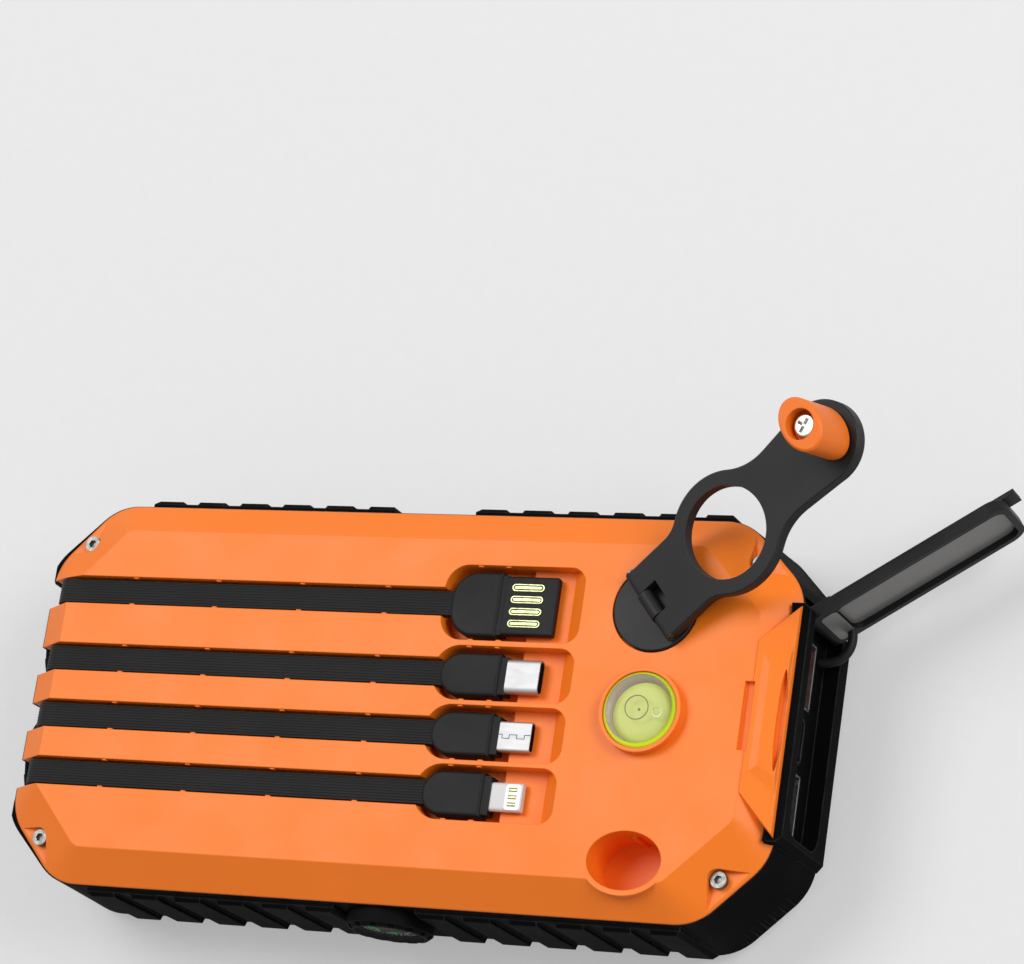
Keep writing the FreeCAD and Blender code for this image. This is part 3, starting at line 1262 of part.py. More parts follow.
def make_lamp_reflectors():
    """Dished reflectors, open at the back for the LED."""
    rim, throat, wall = lamp_opening + 0.5, 2.3, 0.6
    front, back = -lamp_bezel_seat - 0.1, -lamp_bezel_seat - lamp_depth
    shapes = []
    for y in lamp_places():
        steps = 4
        inner = []
        for i in range(steps + 1):
            t = i / steps
            inner.append((throat + (rim - wall - throat) * math.sqrt(t), back + (front - back) * t))
        profile = [V(r, 0, z) for r, z in inner] + [V(rim, 0, front), V(rim, 0, front - 1.2), V(throat + wall + 1.4, 0, back)]
        cup = Part.Face(Part.makePolygon(profile + [profile[0]])).revolve(V(0, 0, 0), Z_AXIS, 360)
        shapes.append(to_lamp(cup, y))
    return group(shapes)


def make_lamp_lenses():
    return group([to_lamp(cylinder(lamp_opening - seat_gap, (0, 0, 0.2), Z_AXIS, 0.9), y) for y in lamp_places()])


def make_lamp_leds():
    """LED star boards behind the reflectors, each with a small dome."""
    back = -lamp_bezel_seat - lamp_depth
    shapes = []
    for y in lamp_places():
        board = cylinder(6.0, (0, 0, back - 1.3), Z_AXIS, 1.25)
        chip = cylinder(1.7, (0, 0, back - 0.1), Z_AXIS, 0.7)
        shapes.append(to_lamp(fused([board, chip]), y))
    return group(shapes)


def to_compass(shape):
    """Carry a shape built along +Z to the -Y side, facing -Y, from the seat's floor."""
    shape = shape.copy()
    shape.rotate(V(0, 0, 0), X_AXIS, 90)
    shape.translate(V(compass_x, -bumper_w + compass_seat, compass_z))
    return shape


def make_compass_bezel():
    ring = notched_ring(compass_bezel, compass_opening, compass_height, 0.8, compass_notches, 1.5, 1.2)
    floor = cylinder(compass_opening + 0.3, (0, 0, 0), Z_AXIS, 0.8)
    ledge = tube(compass_opening + 0.3, compass_opening - 0.5, (0, 0, 0), Z_AXIS, compass_height - 1.0)
    return to_compass(fused([ring, floor, ledge]))


def make_compass_lens():
    dome = cylinder(compass_opening - seat_gap, (0, 0, compass_height - 1.0), Z_AXIS, 0.95)
    return to_compass(dome.makeFillet(0.4, [e for e in dome.Edges if e.BoundBox.ZMin > compass_height - 0.1]))


def make_compass_pivot():
    return to_compass(cylinder(0.4, (0, 0, 0.8), Z_AXIS, 1.35))


def make_compass_card():
    card = cylinder(compass_opening - 0.9, (0, 0, 1.6), Z_AXIS, 0.5)
    cap = cylinder(1.3, (0, 0, 2.0), Z_AXIS, 0.5)
    return to_compass(fused([card, cap]).cut(cylinder(0.4 + running_gap, (0, 0, 0), Z_AXIS, 2.2)))


def button_prism(y0, y1, grow=0.0):
    half_x, half_z = button_length / 2 + grow, button_width / 2 + grow
    wire = rounded_wire([(-half_x, -half_z), (half_x, -half_z), (half_x, half_z), (-half_x, half_z)],
                        [half_z - 0.01] * 4)
    face = Part.Face(wire)
    face.rotate(V(0, 0, 0), X_AXIS, 90)
    face.translate(V(button_x, y0, button_z))
    return face.extrude(V(0, y1 - y0, 0))


def make_power_button():
    """Side button with a flange behind the bumper wall that keeps it in."""
    front = bumper_w + button_proud
    key = button_prism(cavity_w - 0.4, front)
    rim = [e for e in key.Edges if e.BoundBox.YMin > front - 1e-3]
    key = key.makeFillet(0.5, rim)
    flange = button_prism(cavity_w - 0.4 - 1.0, cavity_w - 0.35, 0.9)
    return fused([key, flange])


def make_button_switch():
    """Small push switch behind the button, on a bracket that stands on the front frame's floor."""
    back = cavity_w - 0.4 - 1.0
    plunger_end = back - button_travel - 0.05
    plunger = cylinder(1.2, (button_x, plunger_end - 1.0, button_z), Y_AXIS, 1.0)
    case = box(button_x - 3, button_x + 3, plunger_end - 2.6, plunger_end - 0.9, button_z - 3, button_z + 3)
    bracket = box(button_x - 3, button_x + 3, plunger_end - 3.4, plunger_end - 2.5, frame_floor_top, button_z + 3)
    return fused([plunger, case, bracket])


def make_level_vial():
    """Clear cup of the round spirit level, closed at the top and glued in its boss."""
    top = body_height + level_boss_rise - 0.4
    cup = cylinder(level_radius, (level_x, level_y, level_seat), Z_AXIS, top - level_seat)
    inside = cylinder(level_radius - level_wall, (level_x, level_y, level_seat + 0.8), Z_AXIS, top - level_seat - 1.8)
    return cup.cut(inside)


def make_level_fluid():
    top = body_height + level_boss_rise - 0.4 - 1.0 - seat_gap
    radius = level_radius - level_wall - seat_gap
    return cylinder(radius, (level_x, level_y, level_seat + 0.8 + seat_gap), Z_AXIS, top - level_seat - 0.8 - seat_gap)


# ---------------------------------------------------------------- battery and boards
def make_battery_cells():
    cells = []
    for side in (-1, 1):
        middle = side * (cell_width + cell_gap) / 2
        cell = box(cell_x0, cell_x1, middle - cell_width / 2, middle + cell_width / 2,
                   frame_floor_top, frame_floor_top + cell_height)
        long_edges = [e for e in cell.Edges if e.BoundBox.XLength > 1]
        cells.append(cell.makeFillet(2.5, long_edges))
    return group(cells)


def make_main_board():
    """Charging board on the front frame's floor, with its larger components."""
    board = box(board_x0, board_x1, -board_half, board_half, frame_floor_top, board_top)
    chips = [
        box(board_x1 - 24.0, board_x1 - 17.0, 4.5 - board_half, 11.5 - board_half, board_top - 0.1, board_top + 3.2),
        box(board_x1 - 14.0, board_x1 - 9.0, -6.0, -1.0, board_top - 0.1, board_top + 1.2),
        box(board_x1 - 20.0, board_x1 - 12.0, 6.0, 12.0, board_top - 0.1, board_top + 3.2),
        box(board_x0 + 5.0, board_x0 + 11.0, board_half - 12.5, board_half - 6.5, board_top - 0.1, board_top + 1.2),
    ]
    return fused([board] + chips)


def main():
    os.makedirs("parts", exist_ok=True)
    save("front_frame", make_front_frame())
    save("solar_panel", make_solar_panel())
    save("light_pipes", make_light_pipes())
    save("bumper_frame", make_bumper_frame())
    save("back_shell", make_back_shell())
    save("case_screws", make_case_screws())
    save("cable_roots", group([make_cable_root(y) for name, y, half, cable_round in CABLES]))
    for name, y, half, cable_round in CABLES:
        save(f"{name}_ribbon", make_ribbon(y))
        save(f"{name}_plug_body", make_plug_body(name, y))
        save(f"{name}_plug_tip", make_plug_tip(name, y))
    save("usb_a_contacts", make_usb_a_contacts())
    save("crank_hub", make_crank_hub())
    save("crank_arm", make_crank_arm())
    save("hinge_pin", make_hinge_pin())
    save("crank_knob", make_crank_knob())
    save("knob_screw", make_knob_screw())
    save("crank_bush", make_crank_bush())
    for name, shape in make_gear_train().items():
        save(name, shape)
    save("gear_plate", make_gear_plate())
    save("gear_axles", make_gear_axles())
    save("generator_case", make_generator_case())
    save("generator_magnets", make_generator_magnets())
    save("usb_a_sockets", make_usb_a_sockets())
    save("usb_c_socket", make_usb_c_socket())
    save("port_board", make_port_board())
    save("port_door", make_port_door())
    save("door_pin", make_door_pin())
    save("door_tether", make_door_tether())
    save("lamp_bezels", make_lamp_bezels())
    save("lamp_reflectors", make_lamp_reflectors())
    save("lamp_lenses", make_lamp_lenses())
    save("lamp_leds", make_lamp_leds())
    save("compass_bezel", make_compass_bezel())
    save("compass_lens", make_compass_lens())
    save("compass_pivot", make_compass_pivot())
    save("compass_card", make_compass_card())
    save("power_button", make_power_button())
    save("button_switch", make_button_switch())
    save("level_vial", make_level_vial())
    save("level_fluid", make_level_fluid())
    save("battery_cells", make_battery_cells())
    save("main_board", make_main_board())


main()
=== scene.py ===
import math

import bpy
from mathutils import Matrix, Vector


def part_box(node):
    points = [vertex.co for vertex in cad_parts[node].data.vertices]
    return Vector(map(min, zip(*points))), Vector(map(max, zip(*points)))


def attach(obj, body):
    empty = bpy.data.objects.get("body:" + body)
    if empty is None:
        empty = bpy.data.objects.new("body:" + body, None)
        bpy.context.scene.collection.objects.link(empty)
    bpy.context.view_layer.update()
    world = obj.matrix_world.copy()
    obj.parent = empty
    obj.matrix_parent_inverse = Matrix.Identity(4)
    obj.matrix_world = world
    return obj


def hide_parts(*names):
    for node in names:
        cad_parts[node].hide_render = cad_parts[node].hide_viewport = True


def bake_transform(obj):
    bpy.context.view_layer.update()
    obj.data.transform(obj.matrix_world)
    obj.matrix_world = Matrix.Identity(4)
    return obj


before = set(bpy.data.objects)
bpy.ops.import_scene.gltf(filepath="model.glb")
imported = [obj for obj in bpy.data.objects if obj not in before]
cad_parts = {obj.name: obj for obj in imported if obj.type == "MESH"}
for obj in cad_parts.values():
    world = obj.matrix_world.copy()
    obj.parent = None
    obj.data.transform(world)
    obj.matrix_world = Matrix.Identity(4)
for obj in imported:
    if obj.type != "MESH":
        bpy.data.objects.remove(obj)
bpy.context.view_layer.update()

MM = 0.001
LEADS = ("usb_a", "usb_c", "micro_usb", "eight_pin")
PAPER = (0.78, 0.78, 0.78)   # the pale background
BLACK = (0.0045, 0.0045, 0.0047)
ORANGE = (0.93, 0.20, 0.010)
scene = bpy.context.scene


# ---------------------------------------------------------------- finishes
class Finish:
    """One procedural material, built on the Principled shader from Object coordinates."""

    def __init__(self, name, colour, roughness=0.5, **settings):
        self.material = bpy.data.materials.new(name)
        self.material.use_nodes = True
        self.tree = self.material.node_tree
        self.shader = self.tree.nodes["Principled BSDF"]
        self.place = self.tree.nodes.new("ShaderNodeTexCoord").outputs["Object"]
        self.set("Base Color", (*colour, 1.0))
        self.set("Roughness", roughness)
        for key, value in settings.items():
            self.set(key.replace("_", " "), value)

    def set(self, key, value):
        self.join(value, self.shader.inputs[key])

    def join(self, value, socket):
        if isinstance(value, bpy.types.NodeSocket):
            self.tree.links.new(value, socket)
        else:
            socket.default_value = value

    def node(self, kind, inputs, **options):
        made = self.tree.nodes.new(kind)
        for key, value in options.items():
            setattr(made, key, value)
        for key, value in inputs.items():
            self.join(value, made.inputs[key])
        return made

    def stretched(self, scale):
        """Object coordinates stretched along the axes."""
        return self.node("ShaderNodeMapping", {"Vector": self.place, "Scale": scale}).outputs["Vector"]

    def noise(self, scale, detail=3.0, rough=0.55, place=None):
        inputs = {"Vector": place or self.place, "Scale": scale, "Detail": detail, "Roughness": rough}
        return self.node("ShaderNodeTexNoise", inputs).outputs["Fac"]

    def spread(self, value, start, end, low=0.0, high=1.0):
        inputs = {"Value": value, "From Min": start, "From Max": end, "To Min": low, "To Max": high}
        return self.node("ShaderNodeMapRange", inputs).outputs["Result"]

    def math(self, operation, first, second=0.0):
        made = self.node("ShaderNodeMath", {}, operation=operation)
        self.join(first, made.inputs[0])
        self.join(second, made.inputs[1])
        return made.outputs[0]

    def mix(self, factor, first, second):
        made = self.node("ShaderNodeMix", {}, data_type="RGBA")
        self.join(factor, made.inputs["Factor"])
        for value, socket in ((first, made.inputs[6]), (second, made.inputs[7])):
            self.join((*value, 1.0) if isinstance(value, tuple) else value, socket)
        return made.outputs[2]

    def rounded(self, radius):
        """Normal with every hard edge eased over."""
        return self.node("ShaderNodeBevel", {"Radius": radius}, samples=6).outputs["Normal"]

    def edge_mask(self, eased):
        """1 on the eased edges, 0 on the faces."""
        flat = self.node("ShaderNodeNewGeometry", {}).outputs["Normal"]
        made = self.node("ShaderNodeVectorMath", {}, operation="DOT_PRODUCT")
        self.join(eased, made.inputs[0])
        self.join(flat, made.inputs[1])
        return self.spread(made.outputs["Value"], 0.99, 0.8)

    def bump(self, height, distance, normal=None):
        made = self.node("ShaderNodeBump", {"Height": height, "Distance": distance, "Strength": 1.0})
        if normal is not None:
            self.join(normal, made.inputs["Normal"])
        self.set("Normal", made.outputs["Normal"])


def moulded(name, colour, roughness, tone=0.06, grain=0.012, grain_scale=2600.0, ease=0.3, edge_highlight=0.15,
            **settings):
    """Moulded plastic or rubber: a spark-eroded grain, slight tone changes and eased edges painted paler as a
    highlight.

    Tone is how much darker the patches are, grain and ease are the depth of the grain and the radius of
    the eased edges in millimetres, and the last argument is how strongly the edges are painted pale as a
    highlight.
    """
    finish = Finish(name, colour, roughness, **settings)
    clouds = finish.spread(finish.noise(38.0, 2.0), 0.3, 0.7)
    eased = finish.rounded(ease * MM)
    # painted highlight: the eased edges, broken up by noise, are painted paler to stand for light caught on
    # them
    highlight_breakup = finish.spread(finish.noise(420.0), 0.35, 0.65, 0.4, 1.0)
    edge = finish.math("MULTIPLY", finish.edge_mask(eased), highlight_breakup)
    darker = tuple(v * (1 - tone) for v in colour)
    highlit_edge_colour = tuple(v + (1 - v) * edge_highlight * 0.12 + v * edge_highlight for v in colour)
    body = finish.mix(clouds, colour, darker)
    finish.set("Base Color", finish.mix(finish.math("MULTIPLY", edge, edge_highlight), body, highlit_edge_colour))
    grit = finish.noise(grain_scale, 2.0, 0.5)
    patches = finish.spread(finish.noise(90.0), 0.3, 0.7, roughness - 0.04, roughness + 0.04)
    finish.set("Roughness", finish.math("ADD", patches, finish.spread(grit, 0.3, 0.7, -0.02, 0.02)))
    finish.bump(grit, grain * MM, eased)
    return finish.material


def metal(name, colour, roughness, brushed=(1.0, 1.0, 1.0), ease=0.12, depth=0.004, uneven=0.3):
    """Plated or turned metal with an uneven sheen and fine marks, drawn out along the axes by brushed."""
    finish = Finish(name, colour, roughness, Metallic=1.0)
    marks = finish.noise(900.0, 3.0, 0.6, finish.stretched(brushed))
    cloud = finish.spread(finish.noise(160.0), 0.3, 0.7)
    darker = tuple(v * (1 - 0.6 * uneven) for v in colour)
    finish.set("Base Color", finish.mix(cloud, colour, darker))
    smoothest, roughest = roughness * (1 - uneven), roughness * (1 + uneven)
    finish.set("Roughness", finish.spread(marks, 0.3, 0.7, smoothest, roughest))
    finish.bump(marks, depth * MM, finish.rounded(ease * MM))
    return finish.material


def clear(name, colour, roughness, ior=1.49):
    """Polished clear moulding with the faint ripple of its tool."""
    finish = Finish(name, colour, roughness, Transmission_Weight=1.0, IOR=ior)
    ripple = finish.noise(240.0, 2.0)
    finish.set("Roughness", finish.spread(ripple, 0.3, 0.7, roughness, roughness + 0.03))
    finish.bump(ripple, 0.004 * MM)
    return finish.material


# ---------------------------------------------------------------- Geometry Nodes recipes
class Recipe:
    """A Geometry Nodes tree with named inputs. Its result is realised and takes the finish given."""

    kinds = {float: "NodeSocketFloat", int: "NodeSocketInt", tuple: "NodeSocketVector"}

    def __init__(self, name, **inputs):
        self.tree = bpy.data.node_groups.new(name, "GeometryNodeTree")
        self.keys = {}
        self.open("Geometry", "NodeSocketGeometry")
        for key, value in inputs.items():
            self.open(key, self.kinds[type(value)]).default_value = value
        self.open("Finish", "NodeSocketMaterial")
        self.tree.interface.new_socket("Geometry", in_out="OUTPUT", socket_type="NodeSocketGeometry")
        self.start = self.tree.nodes.new("NodeGroupInput")

    def open(self, key, kind):
        item = self.tree.interface.new_socket(key, in_out="INPUT", socket_type=kind)
        self.keys[key] = item.identifier
        return item

    def __getitem__(self, key):
        return self.start.outputs[key]

    def node(self, kind, inputs, **options):
        made = self.tree.nodes.new(kind)
        for key, value in options.items():
            setattr(made, key, value)
        for key, value in inputs.items():
            if isinstance(value, bpy.types.NodeSocket):
                self.tree.links.new(value, made.inputs[key])
            else:
                made.inputs[key].default_value = value
        return made.outputs[0]

    def vector(self, x=0.0, y=0.0, z=0.0):
        return self.node("ShaderNodeCombineXYZ", {"X": x, "Y": y, "Z": z})

    def math(self, operation, first, second=0.0):
        return self.node("ShaderNodeMath", {0: first, 1: second}, operation=operation)

    def row(self, count, pitch):
        """Points in a row, centred on the origin. Pitch is (x, y, z)."""
        back = self.math("MULTIPLY", self.math("SUBTRACT", count, 1.0), -0.5)
        step = self.vector(*pitch)
        start = self.node("ShaderNodeVectorMath", {0: step, "Scale": back}, operation="SCALE")
        return self.node("GeometryNodeMeshLine", {"Count": count, "Start Location": start, "Offset": step})

    def on_points(self, points, shape, turn=(0.0, 0.0, 0.0)):
        inputs = {"Points": points, "Instance": shape, "Rotation": turn}
        return self.node("GeometryNodeInstanceOnPoints", inputs)

    def done(self, shape):
        shape = self.node("GeometryNodeRealizeInstances", {"Geometry": shape})
        shape = self.node("GeometryNodeSetMaterial", {"Geometry": shape, "Material": self["Finish"]})
        end = self.tree.nodes.new("NodeGroupOutput")
        self.tree.links.new(shape, end.inputs[0])
        return self

    def make(self, name, finish, base=None, **values):
        """Run the recipe, on base where it needs one, and keep the result as a plain piece."""
        maker = add(name + "_maker", base or bpy.data.meshes.new(name + "_start"))
        modifier = maker.modifiers.new("shape", "NODES")
        modifier.node_group = self.tree
        for key, value in {**values, "Finish": finish}.items():
            modifier[self.keys[key]] = value
        return baked(name, maker)


def add(name, mesh):
    made = bpy.data.objects.new(name, mesh)
    scene.collection.objects.link(made)
    return made


def polyline(name, points):
    """A curve of straight runs through points in millimetres."""
    curve = bpy.data.curves.new(name, "CURVE")
    curve.dimensions = "3D"
    spline = curve.splines.new("POLY")
    spline.points.add(len(points) - 1)
    for point, place in zip(spline.points, points):
        point.co = (*(v * MM for v in place), 1.0)
    return curve


def turned(name, centre, rings, steps=96, closed=False):
    """Surface turned about Z. Rings are (radius, height, shift x, shift y) in millimetres.

    Rings run from the underside outwards and over the top. A ring of radius 0 is a pole, and a closed
    piece joins its last ring to its first.
    """
    vertices, faces, starts = [], [], []
    for radius, height, shift_x, shift_y in rings:
        starts.append((len(vertices), radius > 0))
        middle = Vector(centre) + Vector((shift_x, shift_y, height)) * MM
        for i in range(steps if radius > 0 else 1):
            angle = 2 * math.pi * i / steps
            vertices.append(middle + Vector((math.cos(angle), math.sin(angle), 0.0)) * radius * MM)
    pairs = list(zip(starts, starts[1:])) + ([(starts[-1], starts[0])] if closed else [])
    for (first, wide), (second, wide_second) in pairs:
        for i in range(steps):
            j = (i + 1) % steps
            if wide and wide_second:
                faces.append((first + i, first + j, second + j, second + i))
            elif wide:
                faces.append((first + i, first + j, second))
            else:
                faces.append((first, second + j, second + i))
    mesh = bpy.data.meshes.new(name)
    mesh.from_pydata(vertices, [], faces)
    mesh.polygons.foreach_set("use_smooth", [True] * len(mesh.polygons))
    return add(name, mesh)


def plate(name, width, height, radius, low, high, ease=0.08, steps=8):
    """Plate with rounded corners, centred on the Z axis, from low to high, all in millimetres."""
    outline = []
    for quarter, (side_x, side_y) in enumerate(((1, 1), (-1, 1), (-1, -1), (1, -1))):
        for i in range(steps + 1):
            angle = math.pi / 2 * (quarter + i / steps)
            outline.append((side_x * (width / 2 - radius) + radius * math.cos(angle),
                            side_y * (height / 2 - radius) + radius * math.sin(angle)))
    count = len(outline)
    mesh = bpy.data.meshes.new(name)
    vertices = [Vector((x, y, z)) * MM for z in (low, high) for x, y in outline]
    walls = [(i, (i + 1) % count, count + (i + 1) % count, count + i) for i in range(count)]
    mesh.from_pydata(vertices, [], [tuple(reversed(range(count))), tuple(range(count, 2 * count))] + walls)
    maker = add(name + "_maker", mesh)
    bevel = maker.modifiers.new("ease", "BEVEL")
    bevel.width, bevel.segments, bevel.limit_method = ease * MM, 2, "ANGLE"
    return baked(name, maker)


def shape_of(maker):
    """The maker's evaluated shape as a plain mesh. The maker goes."""
    bpy.context.view_layer.update()
    mesh = bpy.data.meshes.new_from_object(maker.evaluated_get(bpy.context.evaluated_depsgraph_get()))
    bpy.data.objects.remove(maker)
    return mesh


def baked(name, maker):
    """The maker's evaluated shape as a plain piece."""
    return add(name, shape_of(maker))


def settle(piece, finish, body, matrix=None):
    """Put a made piece in its place, give it its finish and let it ride on its body."""
    if matrix is not None:
        piece.data.transform(matrix)
    piece.data.materials.clear()
    piece.data.materials.append(finish)
    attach(piece, body)


# ---------------------------------------------------------------- camera, stage and light
def make_camera():
    data = bpy.data.cameras.new("camera")
    data.lens, data.sensor_width = 143.54, 36.0
    data.clip_start, data.clip_end = 0.05, 20.0
    camera = bpy.data.objects.new("camera", data)
    scene.collection.objects.link(camera)
    right = Vector((0.9147, 0.1442, -0.3776))
    back = Vector((0.4037, -0.281, 0.8707))
    up = back.cross(right).normalized()
    right = up.cross(back).normalized()
    turn = Matrix((right, up, back.normalized())).transposed().to_4x4()
    camera.matrix_world = Matrix.Translation((0.3465, -0.1815, 0.7341)) @ turn
    scene.camera = camera


def make_light(name, direction, level):
    """Round lamp whose level is the share of its own colour that it adds to a white face turned to it."""
    distance, size, look = 1.3, 0.75, (0.0, 0.0, 0.015)
    data = bpy.data.lights.new(name, "AREA")
    data.shape = "DISK"
    data.size = size
    data.energy = level * math.pi ** 2 * distance ** 2
    lamp = bpy.data.objects.new(name, data)
    scene.collection.objects.link(lamp)
    away = Vector(direction).normalized()
    lamp.location = Vector(look) + away * distance
    lamp.rotation_euler = away.to_track_quat("Z", "Y").to_euler()


def seen_directly(tree):
    """1 for rays that look straight at the background, also in a mirror or through glass."""
    path = tree.nodes.new("ShaderNodeLightPath")
    total = path.outputs["Is Camera Ray"]
    for other in ("Is Glossy Ray", "Is Transmission Ray"):
        larger = tree.nodes.new("ShaderNodeMath")
        larger.operation = "MAXIMUM"
        tree.links.new(total, larger.inputs[0])
        tree.links.new(path.outputs[other], larger.inputs[1])
        total = larger.outputs[0]
    return total


def make_floor():
    """Pale paper. Part of what is seen of it shines by itself, so that shadows on it stay soft."""
    reach, depth, pale, shine = 6.0, -0.0003, 0.45, 0.43
    mesh = bpy.data.meshes.new("floor")
    mesh.from_pydata([(-reach, -reach, depth), (reach, -reach, depth), (reach, reach, depth),
                      (-reach, reach, depth)], [], [(0, 1, 2, 3)])
    floor = add("floor", mesh)
    finish = Finish("paper_floor", (pale,) * 3, 0.9, Specular_IOR_Level=0.0)
    fibres = finish.spread(finish.noise(300.0), 0.3, 0.7)
    finish.set("Base Color", finish.mix(fibres, (pale + 0.005,) * 3, (pale - 0.005,) * 3))
    finish.set("Emission Color", (*PAPER, 1.0))
    finish.set("Emission Strength", finish.math("MULTIPLY", seen_directly(finish.tree), shine))
    mesh.materials.append(finish.material)


def make_stage():
    make_floor()
    world = bpy.data.worlds.new("studio")
    world.use_nodes = True
    scene.world = world
    tree = world.node_tree
    plain = tree.nodes["Background"]
    plain.inputs["Color"].default_value = (1.0, 1.0, 1.0, 1.0)
    plain.inputs["Strength"].default_value = 0.38
    shown = tree.nodes.new("ShaderNodeBackground")
    shown.inputs["Color"].default_value = (*PAPER, 1.0)
    mix = tree.nodes.new("ShaderNodeMixShader")
    tree.links.new(seen_directly(tree), mix.inputs[0])
    tree.links.new(plain.outputs[0], mix.inputs[1])
    tree.links.new(shown.outputs[0], mix.inputs[2])
    tree.links.new(mix.outputs[0], tree.nodes["World Output"].inputs["Surface"])

    make_light("overhead", (-0.40, 0.28, 0.87), 0.50)
    make_light("key", (0.75, 0.25, 0.61), 0.50)
    scene.view_settings.view_transform = "Standard"


# ---------------------------------------------------------------- finishes of the CAD parts
def dress():
    """Give every CAD part its finish, by the record's slot names."""
    # moulded: name, colour, roughness, tone, grain depth, grain scale, edge radius, painted edge highlight
    # metal: name, colour, roughness, stretch of the marks, edge radius, depth of the marks, unevenness
    finishes = {
        "orange_shell": moulded("orange_shell", ORANGE, 0.46, 0.04, 0.006, 3200.0, 0.3, 0.25,
                                Specular_IOR_Level=0.36),
        "knob_orange": moulded("orange_knob", (0.90, 0.185, 0.010), 0.42, 0.04, 0.005, 3200.0,
                               0.35, 0.25, Specular_IOR_Level=0.30),
        "black_bumper": moulded("black_bumper", BLACK, 0.6, 0.25, 0.010, 2600.0, 0.45, 0.6,
                                Specular_IOR_Level=0.011),
        "crank_black": moulded("crank_black", (0.010, 0.010, 0.0104), 0.5, 0.2, 0.006, 3000.0,
                               0.22, 0.6, Specular_IOR_Level=0.25),
        "door_black": moulded("door_black", (0.010, 0.0098, 0.0098), 0.5, 0.2, 0.006, 3000.0, 0.25,
                              0.6, Specular_IOR_Level=0.15),
        "cable_black": moulded("cable_black", (0.0085, 0.0085, 0.009), 0.55, 0.2, 0.008, 3000.0,
                               0.06, 0.4, Specular_IOR_Level=0.22),
        "plug_black": moulded("plug_black", (0.008, 0.008, 0.0085), 0.55, 0.2, 0.008, 3000.0, 0.35,
                              0.5, Specular_IOR_Level=0.18),
        "bezel_black": moulded("bezel_black", (0.007, 0.007, 0.0073), 0.6, 0.2, 0.003, 3000.0, 0.2,
                               0.6, Specular_IOR_Level=0.02),
        "button_black": moulded("button_black", (0.008, 0.008, 0.0084), 0.6, 0.2, 0.010, 2600.0,
                                0.3, 0.5, Specular_IOR_Level=0.15),
        "switch_grey": moulded("switch_grey", (0.12, 0.12, 0.125), 0.5),
        "gear_white": moulded("gear_acetal", (0.72, 0.71, 0.66), 0.35, 0.05, 0.004, 2600.0, 0.12, 0.1),
        "plate_grey": moulded("plate_grey", (0.16, 0.17, 0.18), 0.5, 0.1, 0.010, 1800.0, 0.25, 0.2),
        "magnet_dark": moulded("magnet_ferrite", (0.03, 0.03, 0.033), 0.55, 0.2, 0.01, 1500.0, 0.15, 0.3),
        "cell_silver": metal("cell_foil", (0.62, 0.63, 0.65), 0.32, (1.0, 0.15, 1.0), 0.3, 0.02),
        "screw_steel": metal("screw_steel", (0.20, 0.195, 0.185), 0.42),
        "screw_bright": metal("screw_bright", (0.60, 0.59, 0.56), 0.3),
        "bush_brass": metal("bush_brass", (0.72, 0.52, 0.24), 0.3),
        "rotor_steel": metal("rotor_steel", (0.55, 0.56, 0.58), 0.32),
        "plug_steel": metal("plug_steel", (0.46, 0.46, 0.465), 0.56, (0.3, 1.0, 1.0), 0.12, 0.001, 0.05),
        "socket_steel": metal("socket_steel", (0.30, 0.30, 0.305), 0.4, (0.3, 1.0, 1.0)),
        "contact_gold": metal("contact_gold", (0.36, 0.38, 0.20), 0.36),
        "reflector_chrome": metal("reflector_chrome", (0.88, 0.89, 0.91), 0.08, (1.0, 1.0, 1.0), 0.1, 0.001),
        "plug_white": moulded("plug_white", (0.60, 0.60, 0.60), 0.4, 0.03, 0.003, 2600.0, 0.3, 0.1),
        "board_green": moulded("board_green", (0.012, 0.085, 0.032), 0.35, 0.3, 0.02, 900.0, 0.12, 0.3),
        "compass_dial": moulded("compass_dial", (0.006, 0.006, 0.007), 0.5, 0.2, 0.004, 2600.0,
                                0.1, 0.3, Specular_IOR_Level=0.05),
        "led_white": moulded("led_phosphor", (0.82, 0.70, 0.22), 0.3, 0.1, 0.004, 2600.0, 0.15, 0.1),
        "light_pipe": clear("light_pipe", (0.80, 0.86, 0.80), 0.08),
        "clear_lens": clear("clear_lens", (1.0, 1.0, 1.0), 0.02, 1.12),
        "clear_vial": clear("clear_vial", (0.97, 0.99, 0.80), 0.03),
        "level_yellow": moulded("level_liquid", (0.60, 0.65, 0.24), 0.4, 0.03, 0.002, 2600.0, 0.1, 0.1),
        "socket_dark": metal("socket_dark", (0.05, 0.045, 0.045), 0.4),
        "solar_cell": solar_finish(),
    }
    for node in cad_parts.values():
        for slot in node.material_slots:
            slot.material = finishes[slot.material.name.split(".")[0]]
    glass = moulded("compass_window", (0.9, 0.92, 0.9), 0.05, 0.02, 0.0005, 300.0, 0.05, 0.0, Alpha=0.02)
    for node, finish in (("usb_c_socket", finishes["socket_dark"]), ("compass_lens", glass)):
        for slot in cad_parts[node].material_slots:
            slot.material = finish
    return finishes


def solar_finish():
    """Monocrystalline cells under a glossy laminate: deep blue-black with a faint crystal mottling."""
    finish = Finish("solar_cells", (0.012, 0.018, 0.034), 0.18, Coat_Weight=0.4, Coat_Roughness=0.05)
    mottle = finish.node("ShaderNodeTexVoronoi", {"Vector": finish.place, "Scale": 260.0})
    tint = finish.spread(mottle.outputs["Distance"], 0.1, 0.6)
    cloud = finish.spread(finish.noise(26.0), 0.35, 0.65)
    deep = finish.mix(tint, (0.010, 0.015, 0.030), (0.016, 0.024, 0.046))
    finish.set("Base Color", finish.mix(finish.math("MULTIPLY", cloud, 0.6), deep, (0.006, 0.009, 0.018)))
    finish.bump(finish.noise(1500.0), 0.004 * MM)
    return finish.material


